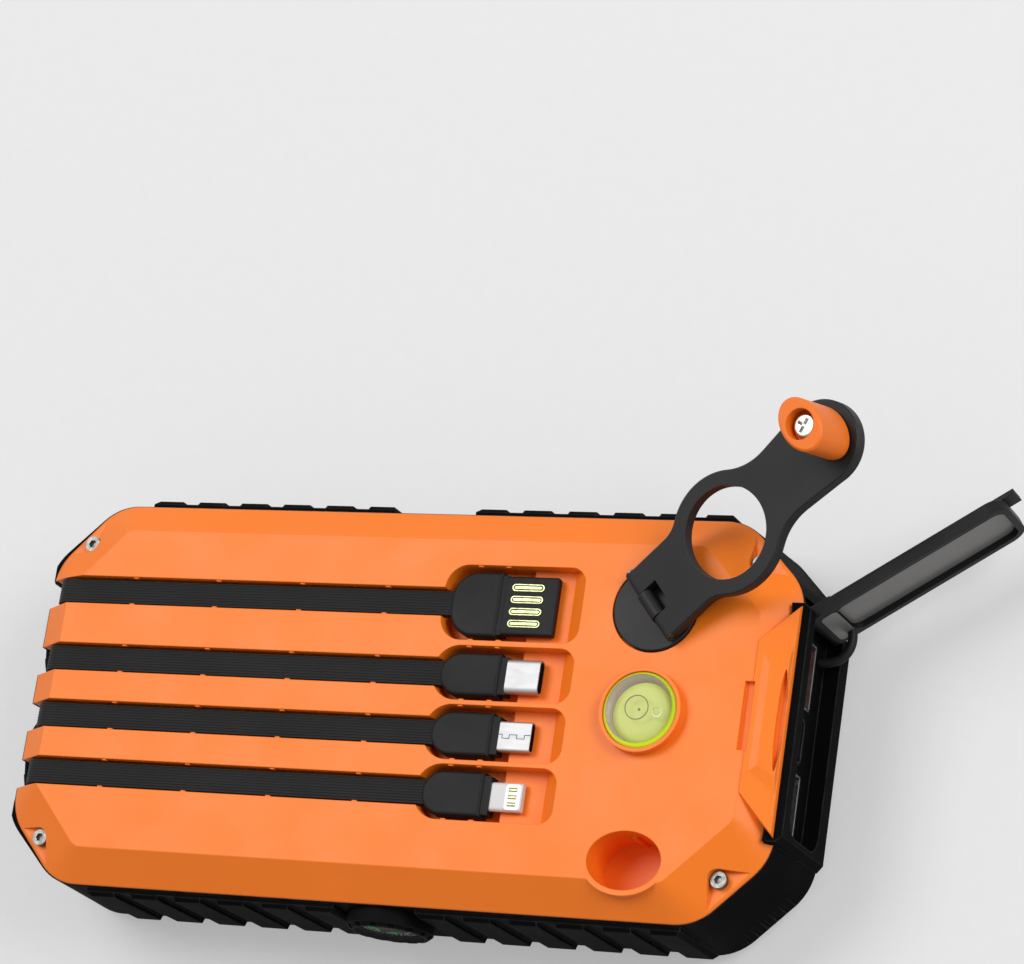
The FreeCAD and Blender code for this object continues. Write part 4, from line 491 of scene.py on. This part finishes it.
# ---------------------------------------------------------------- flat cables
def cable_recipe():
    """Flat lead with fine ribs on both faces, swept along a path."""
    recipe = Recipe("flat_lead", Ribs=9, Width=5.1 * MM, Thickness=1.6 * MM, Valley=0.22)
    steps = recipe.math("MULTIPLY", recipe["Ribs"], 12)
    ring = recipe.node("GeometryNodeCurvePrimitiveCircle", {"Resolution": steps, "Radius": 1.0})
    along = recipe.node("GeometryNodeSplineParameter", {})
    # t runs once round the section: over the top from one edge to the other, and back underneath
    sweep = recipe.math("SUBTRACT", recipe.math("MULTIPLY", along, 2.0), 1.0)
    across = recipe.math("SUBTRACT", 0.5, recipe.math("ABSOLUTE", sweep))
    share = recipe.math("ADD", across, 0.5)
    turns = recipe.math("MULTIPLY", share, recipe["Ribs"])
    wave = recipe.math("ABSOLUTE", recipe.math("SINE", recipe.math("MULTIPLY", turns, math.pi)))
    fall = recipe.math("MULTIPLY", recipe.math("SUBTRACT", 1.0, wave), recipe["Valley"])
    half = recipe.math("MULTIPLY", recipe["Thickness"], 0.5)
    rise = recipe.math("MULTIPLY", half, recipe.math("SUBTRACT", 1.0, fall))
    side = recipe.math("SIGN", sweep)
    across = recipe.math("MULTIPLY", across, recipe["Width"])
    spot = recipe.vector(across, recipe.math("MULTIPLY", rise, side), 0.0)
    profile = recipe.node("GeometryNodeSetPosition", {"Geometry": ring, "Position": spot})
    path = recipe.node("GeometryNodeSetCurveNormal", {"Curve": recipe["Geometry"]}, mode="FREE")
    path.node.inputs["Normal"].default_value = (0.0, 1.0, 0.0)
    inputs = {"Curve": path, "Profile Curve": profile, "Fill Caps": True}
    swept = recipe.node("GeometryNodeCurveToMesh", inputs)
    return recipe.done(recipe.node("GeometryNodeSetShadeSmooth", {"Geometry": swept}))


def make_ribbons(finishes):
    """The four captive leads, with their fine ribs, bent over the edge of the casing."""
    recipe = cable_recipe()
    for name in LEADS:
        low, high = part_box(name + "_ribbon")
        y, top = (low.y + high.y) / 2 / MM, high.z / MM
        thickness, bend, edge = 1.6, 3.0, 0.04
        middle = top - thickness / 2
        drop = low.x / MM + thickness / 2
        points = [(drop, y, low.z / MM + edge)]
        for i in range(13):
            angle = math.pi / 2 * i / 12
            points.append((drop + bend - bend * math.cos(angle), y, middle - bend + bend * math.sin(angle)))
        points.append((high.x / MM - edge, y, middle))
        path = polyline(name + "_path", points)
        piece = recipe.make(name + "_flat_lead", finishes["cable_black"], path, Width=high.y - low.y)
        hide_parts(name + "_ribbon")
        settle(piece, finishes["cable_black"], name + "_cable")


def make_tether(finishes):
    """Soft strap that keeps the port door on the casing."""
    low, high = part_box("door_tether")
    z = (low.z + high.z) / 2 / MM
    curve = bpy.data.curves.new("strap_path", "CURVE")
    curve.dimensions = "3D"
    curve.bevel_depth, curve.use_fill_caps = 0.95 * MM, True
    curve.bevel_resolution, curve.resolution_u = 6, 24
    spline = curve.splines.new("BEZIER")
    spline.bezier_points.add(1)
    # each end with the two handles that bend the curve there
    ends = (((82.0, 16.3), (79.0, 16.3), (86.6, 15.9)), ((87.9, 23.4), (89.2, 18.9), (87.4, 25.0)))
    for point, places in zip(spline.bezier_points, ends):
        point.co, point.handle_left, point.handle_right = (Vector((*place, z)) * MM for place in places)
    piece = baked("door_strap", add("strap_maker", curve))
    piece.data.polygons.foreach_set("use_smooth", [True] * len(piece.data.polygons))
    piece.data.materials.append(finishes["cable_black"])
    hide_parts("door_tether")
    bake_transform(piece)


def make_door_sheen():
    """Grey sheets on the door's tray floor and on its end at the hinge: a painted reflection of the lamps on
    the black door.

    It is laid out on the shut door and then swung open with it.
    """
    pin, opened = Vector((83.9, 22.0, 0.0)) * MM, math.radians(124.0)
    swing = Matrix.Translation(pin) @ Matrix.Rotation(opened, 4, "Z") @ Matrix.Translation(-pin)
    upright = Matrix.Rotation(math.pi / 2, 4, "X") @ Matrix.Rotation(-math.pi / 2, 4, "Y")
    # painted reflection: grey colour standing for the sheen the lamps put on the black door's inner face
    grey = moulded("door_sheen", (0.17, 0.165, 0.16), 0.34, 0.12, 0.003, 2600.0, 0.1, 0.1,
                   Specular_IOR_Level=0.7)
    bottom, top = 9.8, 23.1
    for name, face, first, last, corner, thick in (("door_sheen", 84.0, -19.3, 17.45, 2.25, 0.3),
                                                   ("hinge_sheen", 82.5, 17.5, 21.0, 1.0, 0.08)):
        sheen_sheet = plate(name, last - first, top - bottom, corner, 0.0, thick, thick / 4)
        place = Matrix.Translation(Vector((face, (first + last) / 2, (bottom + top) / 2)) * MM)
        settle(sheen_sheet, grey, "door", swing @ place @ upright)


# ---------------------------------------------------------------- round level
def make_level():
    """Clear dome over a pale dish with painted shade, a mauve wall, a yellow edge, the printed ring and the
    bubble's painted highlight.
    """
    low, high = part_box("level_vial")
    centre = ((low.x + high.x) / 2, (low.y + high.y) / 2, high.z)
    outer, dish, depth, dome = 7.55, 6.2, 1.2, 0.45
    edge, lean_x, lean_y = 6.80, -0.37, 0.30      # the yellow edge is wider on one side
    off_x, off_y = 0.33, -0.45                    # and the dish lies a little to that side
    pale = Finish("level_floor", (0.58, 0.63, 0.18), 0.35, Specular_IOR_Level=0.15)
    # painted shade: the dish darkens from a painted lit spot towards its far edge
    lit_spot = (centre[0] - 1.0 * MM, centre[1] + 0.8 * MM, centre[2])
    away = pale.node("ShaderNodeVectorMath", {0: pale.place, 1: lit_spot}, operation="DISTANCE")
    painted_shade = pale.spread(away.outputs["Value"], 4.4 * MM, 7.2 * MM)
    speckle = pale.spread(pale.noise(420.0), 0.3, 0.7)
    body = pale.mix(speckle, (0.60, 0.65, 0.19), (0.57, 0.62, 0.17))
    pale.set("Base Color", pale.mix(painted_shade, body, (0.46, 0.52, 0.07)))
    mauve = moulded("level_wall", (0.36, 0.27, 0.23), 0.4, 0.1, 0.004, 900.0, 0.1, 0.1)
    yellow = moulded("level_edge", (0.58, 0.68, 0.0), 0.4, 0.05, 0.002, 900.0, 0.1, 0.1,
                     Specular_IOR_Level=0.05)
    ink = moulded("level_ink", (0.16, 0.17, 0.07), 0.5, 0.1, 0.002, 900.0, 0.05, 0.1)
    cover = moulded("level_dome", (0.85, 0.92, 0.45), 0.06, 0.02, 0.001, 300.0, 0.1, 0.0, Alpha=0.045)
    cover.surface_render_method = "BLENDED"
    # the bubble is drawn as a pale ring: its painted highlight
    bubble = moulded("level_bubble_highlight", (0.80, 0.84, 0.60), 0.2, 0.02, 0.001, 300.0, 0.1, 0.0)

    off, lean = (off_x, off_y), (lean_x, lean_y)
    under = -depth - 0.4
    floor = turned("level_dish", centre, [(0, under, *off), (dish, under, *off), (dish, -depth, *off),
                                          (dish * 0.8, -depth, *off), (0, -depth, *off)])
    under, ledge = -depth - 0.3, -0.1
    wall = turned("level_wall", centre, [(dish, under, *off), (outer, under, 0, 0), (outer, ledge, 0, 0),
                                         (edge, ledge, *lean), (dish, -depth, *off)], closed=True)
    rim = turned("level_edge", centre, [(edge, ledge, *lean), (outer, ledge, 0, 0), (outer, 0, 0, 0),
                                        (edge, 0, *lean)], closed=True)
    sphere = (outer ** 2 + dome ** 2) / (2 * dome)
    cap = [(0, -0.12, 0, 0), (outer - 0.1, -0.12, 0, 0)]
    for i in range(9):
        radius = (outer - 0.05) * math.cos(math.pi / 2 * i / 8) if i < 8 else 0
        cap.append((radius, math.sqrt(sphere ** 2 - radius ** 2) - sphere + dome, 0, 0))
    lid = turned("level_dome", centre, cap)
    ring_at, radius, line = (-0.62, 0.42), 2.36, 0.09
    height = dome - 0.05
    corners = ((-line, -line), (line, -line), (line, 0), (-line, 0))
    rings = [(radius + out, height + up, *ring_at) for out, up in corners]
    ring = turned("level_ring", centre, rings, closed=True)
    dot_at = (-0.05, 0.0)
    dot = turned("level_dot", centre, [(0, height - 0.05, *dot_at), (0.28, height - 0.05, *dot_at),
                                       (0.26, height, *dot_at), (0, height, *dot_at)], 24)
    # pale ring of painted highlight on the bubble's rim
    rings = [(0.98, -0.05, 3.5, -0.3), (1.02, 0.0, 3.5, -0.3), (0.98, 0.05, 3.5, -0.3),
             (0.88, 0.05, 3.45, -0.18), (0.84, 0.0, 3.45, -0.16), (0.88, -0.05, 3.45, -0.18)]
    highlight_ring = turned("level_bubble_highlight", centre, rings, 32, closed=True)
    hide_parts("level_fluid")
    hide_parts("level_vial")
    for piece, finish, slot in (
            (floor, pale.material, "level_yellow"), (wall, mauve, "level_yellow"),
            (rim, yellow, "level_yellow"), (lid, cover, "clear_vial"), (ring, ink, "clear_vial"),
            (dot, ink, "clear_vial"), (highlight_ring, bubble, "level_yellow")):
        settle(piece, finish, "case")


# ---------------------------------------------------------------- compass, contacts and panel details
def figures(name, entries, size, depth):
    """Plain numbers standing on a dial in the XY plane: (text, angle from the top, distance)."""
    pieces = []
    for text, angle, distance in entries:
        font = bpy.data.curves.new(name, "FONT")
        font.body, font.size, font.extrude = text, size * MM, depth * MM
        font.align_x, font.align_y = "CENTER", "CENTER"
        mesh = shape_of(add(name + "_maker", font))
        turn = Matrix.Rotation(-math.radians(angle), 4, "Z") @ Matrix.Translation((0.0, distance * MM, 0.0))
        mesh.transform(turn)
        pieces.append(mesh)
    return joined(name, pieces)


def joined(name, meshes):
    """One mesh from several."""
    vertices, faces, smooth = [], [], []
    for mesh in meshes:
        first = len(vertices)
        vertices += [v.co.copy() for v in mesh.vertices]
        faces += [[first + i for i in face.vertices] for face in mesh.polygons]
        smooth += [face.use_smooth for face in mesh.polygons]
    whole = bpy.data.meshes.new(name)
    whole.from_pydata(vertices, [], faces)
    whole.polygons.foreach_set("use_smooth", smooth)
    return whole


def tick_recipe():
    """Ring of short marks standing on a dial in the XY plane."""
    recipe = Recipe("dial_ticks", Count=36, Radius=5.4 * MM, Length=0.7 * MM, Width=0.14 * MM,
                    Height=0.04 * MM)
    size = recipe.vector(recipe["Length"], recipe["Width"], recipe["Height"])
    mark = recipe.node("GeometryNodeMeshCube", {"Size": size})
    ring = recipe.node("GeometryNodeMeshCircle", {"Vertices": recipe["Count"], "Radius": recipe["Radius"]})
    spot = recipe.node("GeometryNodeInputPosition", {})
    turn = recipe.node("FunctionNodeAlignRotationToVector", {"Vector": spot}, axis="X")
    return recipe.done(recipe.on_points(ring, mark, turn))


def make_compass_marks(finishes):
    """Numbers in tens of degrees and ticks on the floating card."""
    low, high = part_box("compass_card")
    face = Matrix.Translation(((low.x + high.x) / 2, low.y - 0.4 * MM, (low.z + high.z) / 2))
    face = face @ Matrix.Rotation(math.pi / 2, 4, "X")
    green = moulded("dial_green", (0.02, 0.80, 0.10), 0.4, 0.05, 0.002, 2600.0, 0.05, 0.1)
    pale = moulded("dial_pale", (0.85, 0.87, 0.82), 0.4, 0.05, 0.002, 2600.0, 0.05, 0.1)
    rings = [(0, -0.8, 0, 0), (5.9, -0.8, 0, 0), (5.95, -0.4, 0, 0), (5.9, 0.0, 0, 0), (0, 0.0, 0, 0)]
    dial = turned("compass_dial_plate", (0.0, 0.0, 0.0), rings)
    settle(dial, finishes["compass_dial"], "compass_needle_card", face)
    large = [("0", 0, 3.6), ("9", 90, 3.6), ("18", 180, 3.6), ("27", 270, 3.6)]
    small = [("3", 30, 4.1), ("6", 60, 4.1), ("12", 120, 4.1), ("15", 150, 4.1),
             ("21", 210, 4.1), ("24", 240, 4.1), ("30", 300, 4.1), ("33", 330, 4.1)]
    for name, entries, size, finish in (("compass_main_figures", large, 2.6, green),
                                        ("compass_small_figures", small, 1.3, pale)):
        piece = add(name, figures(name, entries, size, 0.02))
        settle(piece, finish, "compass_needle_card", face)
    ticks = tick_recipe().make("compass_ticks", pale, Count=36)
    settle(ticks, pale, "compass_needle_card", face)


def line_recipe():
    """Silver grid of the solar cells: groups of fine lines in two columns."""
    recipe = Recipe("cell_grid", Lines=8, Line_pitch=1.15 * MM, Groups=13, Group_pitch=10.2 * MM,
                    Column_pitch=27.4 * MM, Size=(0.26 * MM, 25.6 * MM, 0.02 * MM))
    line = recipe.node("GeometryNodeMeshCube", {"Size": recipe["Size"]})
    group = recipe.on_points(recipe.row(recipe["Lines"], (recipe["Line_pitch"], 0.0, 0.0)), line)
    column = recipe.on_points(recipe.row(recipe["Groups"], (recipe["Group_pitch"], 0.0, 0.0)), group)
    return recipe.done(recipe.on_points(recipe.row(2, (0.0, recipe["Column_pitch"], 0.0)), column))


def make_panel_lines():
    low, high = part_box("solar_panel")
    silver = moulded("grid_silver", (0.74, 0.75, 0.78), 0.4, 0.05, 0.002, 2600.0, 0.02, 0.1)
    lines = line_recipe().make("cell_grid_lines", silver, Groups=13)
    place = Matrix.Translation(((low.x + high.x) / 2 + 1.5 * MM, 0.0, low.z - 0.005 * MM))
    settle(lines, silver, "case", place)


def pad_recipe():
    """Row of small rounded pads along Y."""
    recipe = Recipe("contact_row", Count=8, Pitch=0.6 * MM, Size=(2.2 * MM, 0.38 * MM, 0.06 * MM))
    pad = recipe.node("GeometryNodeMeshCube", {"Size": recipe["Size"]})
    return recipe.done(recipe.on_points(recipe.row(recipe["Count"], (0.0, recipe["Pitch"], 0.0)), pad))


def slab(name, x0, x1, y0, y1, z0, z1, round_=0.15):
    """Block with eased edges, in millimetres."""
    mesh = bpy.data.meshes.new(name)
    corners = [(x, y, z) for x in (x0, x1) for y in (y0, y1) for z in (z0, z1)]
    mesh.from_pydata([tuple(v * MM for v in c) for c in corners], [],
                     [(0, 1, 3, 2), (4, 6, 7, 5), (0, 4, 5, 1), (2, 3, 7, 6), (0, 2, 6, 4), (1, 5, 7, 3)])
    maker = add(name + "_maker", mesh)
    bevel = maker.modifiers.new("ease", "BEVEL")
    bevel.width, bevel.segments = round_ * MM, 3
    return baked(name, maker)


def pair_recipe():
    """Pairs of short bars in a row along Y."""
    recipe = Recipe("contact_pairs", Count=3, Pitch=1.45 * MM, Gap=0.52 * MM,
                    Size=(1.7 * MM, 0.24 * MM, 0.04 * MM))
    bar = recipe.node("GeometryNodeMeshCube", {"Size": recipe["Size"]})
    pair = recipe.on_points(recipe.row(2, (0.0, recipe["Gap"], 0.0)), bar)
    return recipe.done(recipe.on_points(recipe.row(recipe["Count"], (0.0, recipe["Pitch"], 0.0)), pair))


def groove_recipe():
    """Pill-shaped lines in a row along Y, one on each long contact."""
    recipe = Recipe("contact_grooves", Count=4, Pitch=2.45 * MM, Width=6.1 * MM, Height=0.80 * MM,
                    Line=0.12 * MM)
    sides = {"Width": recipe["Width"], "Height": recipe["Height"]}
    pill = recipe.node("GeometryNodeCurvePrimitiveQuadrilateral", sides)
    corner = recipe.math("MULTIPLY", recipe["Height"], 0.48)
    rounding = {"Curve": pill, "Radius": corner, "Count": 6}
    pill = recipe.node("GeometryNodeFilletCurve", rounding, mode="POLY")
    wire = recipe.node("GeometryNodeCurvePrimitiveCircle", {"Resolution": 8, "Radius": recipe["Line"]})
    line = recipe.node("GeometryNodeCurveToMesh", {"Curve": pill, "Profile Curve": wire})
    line = recipe.node("GeometryNodeSetShadeSmooth", {"Geometry": line})
    return recipe.done(recipe.on_points(recipe.row(recipe["Count"], (0.0, recipe["Pitch"], 0.0)), line))


def top_of(node, along=0.5):
    """Place on the top face of a node: a share of the way along X, in the middle of Y."""
    low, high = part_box(node)
    return Vector((low.x + (high.x - low.x) * along, (low.y + high.y) / 2, high.z))


def make_contacts(finishes):
    """Contacts and seams of the plugs."""
    bronze = metal("contact_bronze", (0.035, 0.036, 0.010), 0.5)
    tan = metal("contact_tan", (0.13, 0.12, 0.055), 0.4)
    white = moulded("tip_white", (0.86, 0.86, 0.86), 0.3, 0.02, 0.002, 2600.0, 0.1, 0.1)

    low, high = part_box("usb_a_contacts")
    place = Matrix.Translation(((low.x + high.x) / 2, (low.y + high.y) / 2, high.z))
    grooves = groove_recipe().make("usb_a_grooves", bronze, Count=4)
    settle(grooves, bronze, "usb_a_cable", place)

    face = plate("eight_pin_face", 3.3, 5.2, 0.7, 0.0, 0.05, 0.02)
    on_tip = Matrix.Translation(top_of("eight_pin_plug_tip", 0.71))
    settle(face, white, "eight_pin_cable", on_tip)
    gold = finishes["contact_gold"]
    pads = pad_recipe().make("eight_pin_pads", gold, Count=3, Pitch=1.45 * MM,
                             Size=(1.7 * MM, 0.7 * MM, 0.04 * MM))
    above = Matrix.Translation(top_of("eight_pin_plug_tip", 0.70) + Vector((0.0, 0.0, 0.06)) * MM)
    settle(pads, gold, "eight_pin_cable", above)
    bars = pair_recipe().make("eight_pin_bars", tan, Count=3)
    settle(bars, tan, "eight_pin_cable", Matrix.Translation((0.0, 0.0, 0.03 * MM)) @ above)

    for lead, width, tall in (("usb_c", 6.3, 1.9), ("micro_usb", 5.5, 1.5)):
        low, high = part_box(lead + "_plug_tip")
        mouth = plate(lead + "_mouth", tall, width, tall * 0.45, 0.0, 0.12, 0.03)
        upright = Matrix.Rotation(math.pi / 2, 4, "Y")
        place = Matrix.Translation((high.x - 0.1 * MM, (low.y + high.y) / 2, (low.z + high.z) / 2))
        settle(mouth, finishes["black_bumper"], lead + "_cable", place @ upright)

    grey = metal("seam_grey", (0.06, 0.055, 0.06), 0.5)
    up, down = 0.3, -0.45
    steps = ((-3.3, up), (-2.6, up), (-2.6, down), (-1.1, down), (-1.1, up), (0.5, up), (0.5, down),
             (2.1, down), (2.1, up), (3.3, up))
    path = polyline("seam_path", [(x, y, 0.0) for x, y in steps])
    path.bevel_depth, path.bevel_resolution = 0.085 * MM, 2
    seam = baked("micro_usb_seam", add("seam_maker", path))
    settle(seam, grey, "micro_usb_cable", Matrix.Translation(top_of("micro_usb_plug_tip")))


def make_tongues(finishes):
    """Coloured tongues in the sockets, just behind their mouths."""
    bright = moulded("tongue_red", (0.90, 0.045, 0.03), 0.4, 0.1, 0.005, 2600.0, 0.15, 0.2)
    deep = moulded("tongue_dark_red", (0.20, 0.012, 0.012), 0.4, 0.1, 0.005, 2600.0, 0.15, 0.2)
    low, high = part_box("usb_a_sockets")
    mouth, middle = high.x / MM, (low.z + high.z) / 2 / MM
    back, front = mouth - 5.5, mouth - 0.25
    for name, y, half, low, high, finish in (("upper_tongue", 12.3, 5.7, 0.15, 2.3, bright),
                                             ("lower_tongue", -13.7, 5.7, 0.15, 2.2, finishes["plug_black"]),
                                             ("small_tongue", -0.65, 3.4, -0.45, 0.9, deep)):
        tongue = slab(name, back, front, y - half, y + half, middle + low, middle + high, 0.2)
        settle(tongue, finish, "case")


def make_lit_light():
    """The one light beside the solar panel that is lit."""
    low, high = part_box("light_pipes")
    half, pitch = 1.0, 7.65
    centre = ((low.x + high.x) / 2, low.y + half * MM + pitch * MM, low.z - 0.02 * MM)
    glow = Finish("light_lit", (0.03, 0.75, 0.06), 0.3)
    pulse = glow.spread(glow.noise(900.0), 0.3, 0.7, 0.75, 0.95)
    glow.set("Emission Color", (0.03, 0.95, 0.08, 1.0))
    glow.set("Emission Strength", pulse)
    rings = [(0, -0.12, 0, 0), (0.7, -0.12, 0, 0), (0.95, 0.0, 0, 0), (0.95, 0.1, 0, 0), (0, 0.1, 0, 0)]
    cap = turned("lit_light", centre, rings, 32)
    settle(cap, glow.material, "case")


make_camera()
make_stage()
finishes = dress()
make_ribbons(finishes)
make_tether(finishes)
make_door_sheen()
make_level()
make_compass_marks(finishes)
make_panel_lines()
make_contacts(finishes)
make_tongues(finishes)
make_lit_light()
